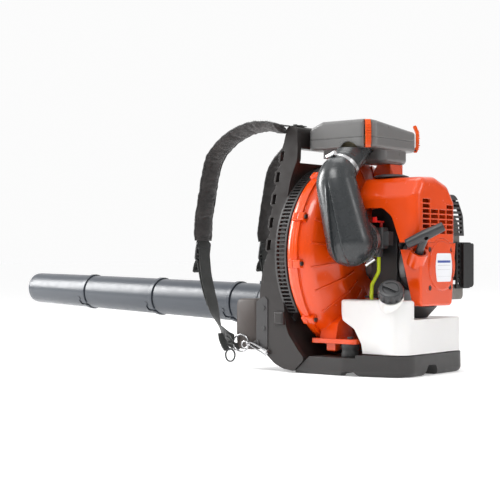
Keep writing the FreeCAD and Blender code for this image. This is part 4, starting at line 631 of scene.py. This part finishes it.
def ladder_buckle(name, y):
    """Moulded ladder lock: a frame with two rungs that grips the webbing."""
    place = (Matrix.Translation(Vector((BUCKLE_X, y, BUCKLE_Z)))
             @ Matrix.Rotation(BUCKLE_TILT, 4, "Y"))
    corners = []
    for k in range(40):
        a = 2 * math.pi * k / 40
        c, s = math.cos(a), math.sin(a)
        corners.append(place @ Vector((0.0006 * math.sin(3 * a),
                                       BUCKLE_HALF_WIDTH * math.copysign(abs(c) ** 0.35, c),
                                       BUCKLE_HALF_HEIGHT * math.copysign(abs(s) ** 0.35, s))))
    fixed(ring_tube(name, corners, BUCKLE_WIRE, KNOB))
    reach = BUCKLE_HALF_WIDTH - 0.001
    for k, z in enumerate(RUNG_HEIGHTS):
        bar = [place @ Vector((0.0022, reach * (i / 4 - 1), z)) for i in range(9)]
        fixed(tube_along(f"{name}_rung_{k}", bar, RUNG_WIRE, KNOB, sides=8))


def twisting(s, outer):
    """Width direction of the lower webbing: level at first, then turned on edge to its ring."""
    a = TWIST_ANGLE * ease((s - TWIST_START) / TWIST_RUN)
    return (0.30 * math.sin(a), math.cos(a), 0.95 * outer * math.sin(a))


ANCHOR_Y = 0.096          # where the webbing is screwed down, out from the middle
ANCHOR_SCREW_X = -0.105
ANCHOR_SCREW_GAP = 0.009


def top_anchor(tag, y, seed):
    """Webbing that runs out of the pad and is screwed down on the frame's top bar."""
    inner = math.copysign(min(abs(y), ANCHOR_Y), y)
    run = [(-0.152, y, 0.4845), (-0.140, y, 0.4845), (-0.127, (y + inner) / 2, 0.4840),
           (-0.117, inner, 0.4826), (-0.106, inner, 0.4824), (-0.0945, inner, 0.4824)]
    ribbon(f"web_anchor_{tag}", run, 0.0160, 0.0020, seed + 8)
    for k, side in enumerate((-ANCHOR_SCREW_GAP, ANCHOR_SCREW_GAP)):
        shank = [Vector((ANCHOR_SCREW_X, inner + side, z)) for z in (0.4815, 0.4835, 0.4855)]
        # The anchor screws share the steel darkened as painted shade.
        fixed(tube_along(f"anchor_screw_{tag}_{k}", shank, 0.0042, SHADE_DARKENED_STEEL, sides=20))


def harness_side(tag, y, seed, mirrored):
    outer = 1 if mirrored else -1
    shoulder_pad(f"shoulder_pad_{tag}_soft", y, seed, mirrored)
    ribbon(f"web_main_{tag}", drifted(WEB_LINE, y), WEB_HALF, WEB_THICK, seed,
           across=lambda s: twisting(s, outer))
    ribbon(f"web_return_{tag}", drifted(WEB_RETURN, y), WEB_HALF, WEB_THICK, seed + 3)
    ribbon(f"web_tail_{tag}", side_view(WEB_TAIL, y), WEB_HALF, 0.0021, seed + 5)
    ribbon(f"web_tail_fold_{tag}", side_view(WEB_TAIL_FOLD, y), WEB_HALF, 0.0018, seed + 6,
           step=0.0015)
    ladder_buckle(f"ladder_lock_{tag}", y)
    top_anchor(tag, y, seed)


harness_side("left", STRAP_Y, 1.0, False)
harness_side("right", STRAP_Y + RIGHT_SHIFT, 9.0, True)


# ---- metal rings and hooks of the harness -------------------------------
HOOK_Y = 0.1570
HOOK_BODY = [(-181.5, 54.5), (-172, 54), (-158, 49), (-146, 44), (-137.5, 40), (-134.5, 36.5),
             (-136.5, 33.5), (-141.5, 33.5)]
HOOK_GATE = [(-141.5, 33.5), (-152, 38.5), (-168, 45), (-176.5, 49)]
HOOK_BARREL = [(-184.5, 53.5), (-176.5, 51.5)]
RING_FOLD = [(-247, 63.5), (-237, 59), (-230, 54.5), (-226.5, 50.5), (-229, 47.5),
             (-237, 51.5), (-247, 56.5)]
STRAP_END = [(-262, 70), (-258, 55), (-251, 43), (-245, 36)]


def loop_points(centre, wide, high, tilt=0.0, count=40):
    """Closed loop in the XZ plane, tilted about Y."""
    place = Matrix.Translation(Vector(centre)) @ Matrix.Rotation(tilt, 4, "Y")
    turns = [2 * math.pi * k / count for k in range(count)]
    return [place @ Vector((wide * math.cos(a), 0, high * math.sin(a))) for a in turns]


def snap_hook(tag, sign):
    """Spring snap hook between the strap's ring and the eye on the frame."""
    y = sign * HOOK_Y
    body = smooth_line(side_view(HOOK_BODY, y), 0.0012)
    fixed(tube_along(f"snap_hook_{tag}", body, 0.0019, BRIGHT))
    gate = smooth_line(side_view(HOOK_GATE, y), 0.0012)
    fixed(tube_along(f"snap_gate_{tag}", gate, 0.0013, BRIGHT))
    eye = loop_points((-0.191, y, 0.0505), 0.0075, 0.0065)
    fixed(ring_tube(f"snap_eye_{tag}", eye, 0.0017, BRIGHT))
    barrel = smooth_line(side_view(HOOK_BARREL, y), 0.001)
    fixed(tube_along(f"snap_swivel_{tag}", barrel, 0.0041, BRIGHT))
    staple = smooth_line([(-0.1405, y, 0.0300), (-0.1385, y - sign * 0.004, 0.0400),
                          (-0.1365, y - sign * 0.014, 0.0420)], 0.001)
    fixed(tube_along(f"frame_eye_{tag}", staple, 0.0017, STEEL))


def ring_set(tag, sign):
    """Strap ring, the webbing folded through it, and the strap's loose end with its loop."""
    y = sign * RING_Y
    circle_line = loop_points((-0.209, y, 0.052), 0.0195, 0.0170)
    ring = fixed(ring_tube(f"strap_ring_{tag}", circle_line, 0.0017, BRIGHT))
    ribbon(f"ring_fold_{tag}", side_view(RING_FOLD, y), 0.0150, 0.0018, sign * 4.0,
           step=0.0015, across=(0.25, 0.55, 0.8 * sign))
    ribbon(f"strap_end_{tag}", side_view(STRAP_END, y), 0.0095, 0.0034, sign * 8.0)
    end_line = loop_points((-0.2375, y, 0.0265), 0.0120, 0.0125, tilt=0.5)
    fixed(ring_tube(f"strap_end_ring_{tag}", end_line, 0.0019, KNOB))
    return ring


left_ring = ring_set("left", -1)
ring_set("right", 1)
snap_hook("left", -1)
snap_hook("right", 1)
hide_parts("strap_webs", "harness_buckles")


# ---- pads against the back ----------------------------------------------
SEAM_STEP = 0.0012
CHANNEL_WIDTH = 0.003
CHANNEL_DEPTH = 0.45

BACK_PAD_X = -0.1195
BACK_PAD_THICK = 0.0125
BACK_PAD_CHANNELS = (0.24, 0.31)
BACK_PAD_Y = {"left": -0.06, "right": 0.06}

HIP_HALF = 0.146
HIP_FRONT = -0.168
HIP_MIDDLE_Z = 0.0905
HIP_HALF_HEIGHT = 0.0505
HIP_SEAMS = (0.018, 0.060, 0.102)
HIP_CORNER_FROM = 0.134
HIP_CORNER = 0.012


def seam_distance(outline, u, v):
    """Distance from a point inside a closed outline to its edge; 0 outside it."""
    best = 1.0
    inside = False
    for (ax, ay), (bx, by) in zip(outline, outline[1:] + outline[:1]):
        dx, dy = bx - ax, by - ay
        k = max(0.0, min(1.0, ((u - ax) * dx + (v - ay) * dy) / (dx * dx + dy * dy)))
        best = min(best, math.hypot(u - ax - k * dx, v - ay - k * dy))
        if (ay > v) != (by > v) and u < ax + (v - ay) / (by - ay) * dx:
            inside = not inside
    return best if inside else 0.0


def seam_points(outline, centre, count=96):
    """The last point inside the outline on each ray from its centre."""
    rim = []
    for k in range(count):
        a = 2 * math.pi * k / count
        point = centre
        steps = 0
        while seam_distance(outline, *point) > 0.0:
            last = point
            steps += 1
            r = steps * SEAM_STEP
            point = (centre[0] + r * math.cos(a), centre[1] + r * math.sin(a))
        rim.append(last)
    return rim


def cushion(name, outline, place, thick, mat, channels=(), puff=0.6, half_rows=28):
    """Sewn pad over a flat outline (u, v), full in the middle, thin at its seam."""
    us = [p[0] for p in outline]
    vs = [p[1] for p in outline]
    centre = ((min(us) + max(us)) / 2, (min(vs) + max(vs)) / 2)
    rim = seam_points(outline, centre)
    rings = []
    for row in range(-half_rows, half_rows + 1):
        spread = 0.004 + 0.996 * (1 - math.sin(abs(row) / half_rows * math.pi / 2))
        face = -1 if row < 0 else 1
        ring = []
        for u0, v0 in rim:
            u = centre[0] + (u0 - centre[0]) * spread
            v = centre[1] + (v0 - centre[1]) * spread
            d = seam_distance(outline, u, v)
            fill = (1 - math.exp(-d / 0.011)) * puff + (1 - puff) * min(1.0, d / 0.004)
            for height in channels:
                fill *= 1 - CHANNEL_DEPTH * math.exp(-((v - height) / CHANNEL_WIDTH) ** 2)
            wave = 0.0006 * noise.noise(Vector((u * 55, v * 55, row * 0.01)))
            ring.append(place(u, v, face * (thick / 2 * max(fill, 0.12)) + wave))
        rings.append(ring)
    obj = loft(name, rings, mat)
    return fixed(obj)


def rounded_outline(half_u, low_v, high_v, corner, steps=6):
    """Rectangle with rounded corners, as (u, v) points."""
    right, left = half_u - corner, -half_u + corner
    top, bottom = high_v - corner, low_v + corner
    pts = []
    for cu, cv, start in ((right, top, 0), (left, top, 90), (left, bottom, 180),
                          (right, bottom, 270)):
        for k in range(steps + 1):
            a = math.radians(start + 90 * k / steps)
            pts.append((cu + corner * math.cos(a), cv + corner * math.sin(a)))
    return pts


def hip_section(y):
    """Ring of the hip pad at y: flat front and back, squarish corners, drawn in at seams."""
    away = abs(y) / HIP_HALF
    end = min(1.0, (HIP_HALF - abs(y)) / 0.007)
    shrink = 0.93 + 0.07 * math.sqrt(1 - (1 - end) ** 2)
    seam = 1 - 0.1 * sum(math.exp(-((abs(y) - at) / 0.0035) ** 2) for at in HIP_SEAMS)
    corner = min(1.0, max(0.0, (abs(y) - HIP_CORNER_FROM) / HIP_CORNER))
    back = -(0.206 + 0.023 * away ** 2.2) + 0.0135 * (1 - math.sqrt(1 - corner ** 2))
    half_depth = (HIP_FRONT - back) / 2 * shrink * seam
    half_height = HIP_HALF_HEIGHT * shrink
    ring = []
    for k in range(64):
        a = 2 * math.pi * k / 64
        c, s = math.cos(a), math.sin(a)
        x = (HIP_FRONT + back) / 2 + half_depth * math.copysign(abs(c) ** 0.34, c)
        z = HIP_MIDDLE_Z + half_height * math.copysign(abs(s) ** 0.26, s)
        wave = 0.0007 * noise.noise(Vector((x * 60, y * 45, z * 60)))
        ring.append(Vector((x + wave, y, z + wave)))
    return ring


def hip_pad(count=84):
    """Wide pad across the hips whose two ends wrap forward as stiffened wings."""
    rings = [hip_section(-HIP_HALF + 2 * HIP_HALF * i / count) for i in range(count + 1)]
    obj = loft("hip_pad_soft", rings, VINYL)
    return fixed(obj)


def back_place(shift):
    return lambda u, v, out: Vector((BACK_PAD_X - out, u + shift, v))


hip = hip_pad()
for tag, shift in BACK_PAD_Y.items():
    cushion(f"back_pad_{tag}_soft", rounded_outline(0.036, 0.171, 0.379, 0.012),
            back_place(shift), BACK_PAD_THICK, PAD, BACK_PAD_CHANNELS)
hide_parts("back_pads")


# ---- bellows ------------------------------------------------------------
TUBE_START = Vector((-0.026, 0.206, 0.103))
TUBE_TILT = math.radians(1.84)
BELLOWS_RADIUS = 0.0464
FOLD_HEIGHT = 0.0041
FOLDS = 6
FOLD_STEPS = 16
BELLOWS_SIDES = 72


def tube_axis(x):
    """Point on the blower tube's axis at distance x along the frame."""
    reach = x - TUBE_START.x
    return TUBE_START + Vector((reach * math.cos(TUBE_TILT), 0, -reach * math.sin(TUBE_TILT)))


def bellows(name, x0, x1):
    """Corrugated sleeve round the tube's axis from x0 to x1."""
    span = (x1 - x0) / FOLDS
    axis = (tube_axis(x1) - tube_axis(x0)).normalized()
    up = Vector((0, 0, 1))
    up = (up - axis * up.dot(axis)).normalized()
    rings = []
    for i in range(FOLDS * FOLD_STEPS + 1):
        centre = tube_axis(x0 + span * i / FOLD_STEPS)
        phase = (i % FOLD_STEPS) / FOLD_STEPS
        r = BELLOWS_RADIUS + FOLD_HEIGHT * (0.5 - 0.5 * math.cos(2 * math.pi * phase)) ** 0.8
        rings.append(circle(centre, r, up, axis.cross(up), BELLOWS_SIDES))
    return loft(name, rings, RUBBER)


rear_bellows = bellows("bellows_rear_soft", -0.1045, -0.1675)
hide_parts("bellows_rear")
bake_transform(rear_bellows)
front_bellows = bellows("bellows_front_soft", -0.1765, -0.2395)
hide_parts("bellows_front")
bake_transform(front_bellows)


# ---- grip ribs on the filter latches ------------------------------------
# Each latch's pivot and the direction of its pin.
LATCHES = {"left": ((0.05213, -0.083165, 0.437), (0.671176, 0.741298, 0)),
           "right": ((0.0556, 0.0807, 0.437), (-0.6, 0.8, 0))}
RIB_COUNT = 11
RIB_INSET = 0.0012
RIB_SECTION = ((-0.0012, -0.0004), (-0.0005, 0.0014), (0.0005, 0.0014), (0.0012, -0.0004))
RIB_FACES = ((0, 1, 5, 4), (1, 2, 6, 5), (2, 3, 7, 6), (3, 0, 4, 7), (3, 2, 1, 0),
             (4, 5, 6, 7))


def latch_ribs(node_name, body, pivot, axis):
    """Thumb ribs across the outer face of a latch, laid on the face that they meet."""
    latch = NODES[node_name]
    tree = BVHTree.FromObject(latch, bpy.context.evaluated_depsgraph_get())
    to_local = latch.matrix_world.inverted()
    axis = Vector(axis).normalized()
    outward = Vector((axis.y, -axis.x, 0))
    pivot = Vector(pivot)
    reach = [(latch.matrix_world @ v.co - pivot).dot(axis) for v in latch.data.vertices]
    middle = (max(reach) + min(reach)) / 2
    half = (max(reach) - min(reach)) / 2 - RIB_INSET
    low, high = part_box(node_name)
    verts = []
    faces = []
    for i in range(RIB_COUNT):
        z = low.z + 0.007 + (high.z - low.z - 0.018) * i / (RIB_COUNT - 1)
        start = Vector((pivot.x, pivot.y, z)) + axis * middle + outward * 0.1
        hit = tree.ray_cast(to_local @ start, to_local.to_3x3() @ -outward)[0]
        if hit is None:
            continue
        face = latch.matrix_world @ hit
        corner = len(verts)
        for along in (-half, half):
            for up, out in RIB_SECTION:
                verts.append(face + axis * along + outward * out + Vector((0, 0, up)))
        faces += [tuple(corner + k for k in quad) for quad in RIB_FACES]
    ribs = mesh_object(node_name + "_ribs", verts, faces, ORANGE_LATCH, smooth=False)
    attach(ribs, body)


for tag, (pivot, axis) in LATCHES.items():
    latch_ribs(f"filter_latch_{tag}", f"latch_{tag}", pivot, axis)


# ---- starter rope -------------------------------------------------------
PULL = Vector((0.507, -0.327, 0.797)).normalized()
GUIDE = Vector((0.158, -0.072, 0.228))
ROPE_REACHES = (-0.010, -0.004, 0.0, 0.004, 0.009)
ROPE_RADIUS = 0.0017

rope_line = [GUIDE + PULL * s for s in ROPE_REACHES]
rope = tube_along("starter_rope_braid", rope_line, ROPE_RADIUS, ROPE)
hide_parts("starter_rope")
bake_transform(rope)


# ---- intake duct --------------------------------------------------------
DUCT_NECK = Vector((0.0170, -0.1120, 0.3990))
DUCT_TOP = Vector((0.0180, -0.1415, 0.3680))
DUCT_LOW = Vector((0.0520, -0.1400, 0.2510))
DUCT_BENDS = [(0.0172, -0.1215, 0.3905), (0.0177, -0.1325, 0.3790), (0.0195, -0.1395, 0.3630)]
DUCT_END_R = 0.0455
DUCT_OUT = Vector((0.28, -0.96, 0.06))     # the way the moulded face looks
DUCT_SIDES = 180
# Radius at each distance along the duct's line.
DUCT_SIZES = [(0.0, 0.0295), (0.010, 0.0305), (0.026, 0.0350), (0.048, 0.0385),
              (0.166, DUCT_END_R)]
OUTLET_Y = (-0.138, -0.125, -0.112, -0.0985)
OUTLET_RADIUS = 0.0375


def duct_radius(reach):
    for (a, ra), (b, rb) in zip(DUCT_SIZES, DUCT_SIZES[1:]):
        if reach <= b:
            return ra + (rb - ra) * (reach - a) / (b - a)
    return DUCT_END_R


def soft_step(value, edge, width):
    """1 below the edge and 0 above it, over a soft width."""
    return 1 / (1 + math.exp(max(-30.0, min(30.0, (value - edge) / width))))


def duct_face(p):
    """Moulded face: a wedge-shaped hollow that opens downward between two crisp ridges."""
    run = DUCT_LOW - DUCT_TOP
    length = run.length
    run.normalize()
    out = (DUCT_OUT - run * DUCT_OUT.dot(run)).normalized()
    rel = p - DUCT_TOP
    s = rel.dot(run) / length
    if rel.dot(out) < 0.0 or s < 0.0 or s > 1.4:
        return p
    side = rel.dot(run.cross(out))
    hold = min(1.0, s * 5) * min(1.0, max(0.0, (1.36 - s) * 7))
    gap = abs(side - (0.0035 + 0.0115 * s))
    half = 0.0010 + 0.0085 * max(0.0, s - 0.08)
    hollow = (0.0028 + 0.0052 * s) * soft_step(gap, half, 0.0009) * hold
    rim = 0.0018 * math.exp(-((gap - half - 0.0026) / 0.0018) ** 2) * hold
    return p + out * (rim - hollow)


def intake_duct():
    """Moulded pod: a neck that bends down and widens into a round end."""
    run = (DUCT_LOW - DUCT_TOP).normalized()
    line = smooth_line([DUCT_NECK, *DUCT_BENDS, DUCT_TOP.lerp(DUCT_LOW, 0.30), DUCT_LOW,
                        DUCT_LOW + run * DUCT_END_R], 0.0012)
    rings = []
    reach = 0.0
    for i, (p, t, side, normal) in enumerate(frames_along(line, (1, 0, 0))):
        if i:
            reach += (p - line[i - 1]).length
        past = min(1.0, max(0.0, (p - DUCT_LOW).dot(run)) / DUCT_END_R)
        r = max(0.0006, duct_radius(reach) * math.sqrt(1 - past ** 2))
        rings.append([duct_face(q) for q in circle(p, r, side, normal, DUCT_SIDES)])
    return loft("intake_duct_moulded", rings, DUCT)


def duct_outlet():
    """Short round collar from the duct's end to the carburettor's clamp."""
    line = [Vector((0.053, y, 0.253)) for y in OUTLET_Y]
    fixed(tube_along("intake_duct_outlet", line, OUTLET_RADIUS, DUCT, sides=72))


duct = intake_duct()
duct_outlet()
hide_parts("intake_duct")
fixed(duct)


# ---- stage, lights and camera -------------------------------------------
FLOOR_HALF = 40.0
FLOOR_GLOW = 0.27         # hides the line where the floor meets the white surround
SEEN_WHITE = 0.97
BEHIND = (-0.62, 0.78, 0.1)
MIDDLE = (0.0, -0.02, 0.25)
# Place, (width, height) and power of each area light, all aimed at the middle.
LIGHTS = {"key": ((-2.4, -0.8, 1.2), (0.9, 1.6), 85),
          "front": ((0.2, -1.6, 2.3), (1.2, 0.8), 30),
          "top": ((-0.3, 0.3, 2.4), (1.4, 1.2), 16),
          "right": ((2.4, 0.5, 1.3), (0.4, 1.6), 12)}
CAMERA_PLACE = (1.3946, -2.0644, 0.222)
CAMERA_YAW = 39.5
CAMERA_LENS = 90.0
CAMERA_SENSOR = 36.0
CAMERA_SHIFT = 0.016


def area_light(name, where, size, power):
    light = bpy.data.lights.new(name, "AREA")
    light.shape = "RECTANGLE"
    light.size, light.size_y = size
    light.energy = power
    obj = bpy.data.objects.new(name, light)
    obj.location = where
    aim = Vector(MIDDLE) - Vector(where)
    obj.rotation_euler = aim.to_track_quat("-Z", "Y").to_euler()
    bpy.context.scene.collection.objects.link(obj)


def floor_plane():
    mat, tree, shader = new_material("pale_floor")
    shader.inputs["Base Color"].default_value = (0.9, 0.9, 0.9, 1)
    shader.inputs["Roughness"].default_value = 0.9
    shader.inputs["Emission Color"].default_value = (1, 1, 1, 1)
    shader.inputs["Emission Strength"].default_value = FLOOR_GLOW
    half = FLOOR_HALF
    verts = [(-half, -half, 0), (half, -half, 0), (half, half, 0), (-half, half, 0)]
    obj = mesh_object("floor", verts, [(0, 1, 2, 3)], mat, smooth=False)


def studio_world():
    """White surround that is bright overhead and dim towards the horizon on what it lights."""
    world = bpy.data.worlds.new("studio")
    world.use_nodes = True
    tree = world.node_tree
    tree.nodes.clear()
    direction = add(tree, "ShaderNodeTexCoord").outputs["Generated"]
    up = add(tree, "ShaderNodeSeparateXYZ", {0: direction}).outputs[2]
    overhead = ramp(tree, up, 0.0, 0.8, 0.12, 0.85)
    behind = add(tree, "ShaderNodeVectorMath", {0: direction, 1: BEHIND},
                 operation="DOT_PRODUCT").outputs["Value"]
    level = math_node(tree, "ADD", overhead, ramp(tree, behind, 0.55, 0.98, 0.0, 0.7))
    lit = add(tree, "ShaderNodeBackground", {1: level})
    seen = add(tree, "ShaderNodeBackground", {1: SEEN_WHITE})
    for node in (lit, seen):
        node.inputs[0].default_value = (1.0, 1.0, 1.0, 1.0)
    ray = add(tree, "ShaderNodeLightPath").outputs["Is Camera Ray"]
    choice = add(tree, "ShaderNodeMixShader", {0: ray, 1: lit.outputs[0], 2: seen.outputs[0]})
    add(tree, "ShaderNodeOutputWorld", {0: choice.outputs[0]})
    bpy.context.scene.world = world


def camera_view():
    camera = bpy.data.cameras.new("view")
    camera.lens = CAMERA_LENS
    camera.sensor_width = CAMERA_SENSOR
    camera.shift_y = CAMERA_SHIFT
    view = bpy.data.objects.new("view", camera)
    view.location = CAMERA_PLACE
    view.rotation_euler = (math.radians(90), 0, math.radians(CAMERA_YAW))
    bpy.context.scene.collection.objects.link(view)
    bpy.context.scene.camera = view
    bpy.context.scene.view_settings.view_transform = "Standard"


floor_plane()
studio_world()
for light_name, (where, size, power) in LIGHTS.items():
    area_light(light_name, where, size, power)
camera_view()
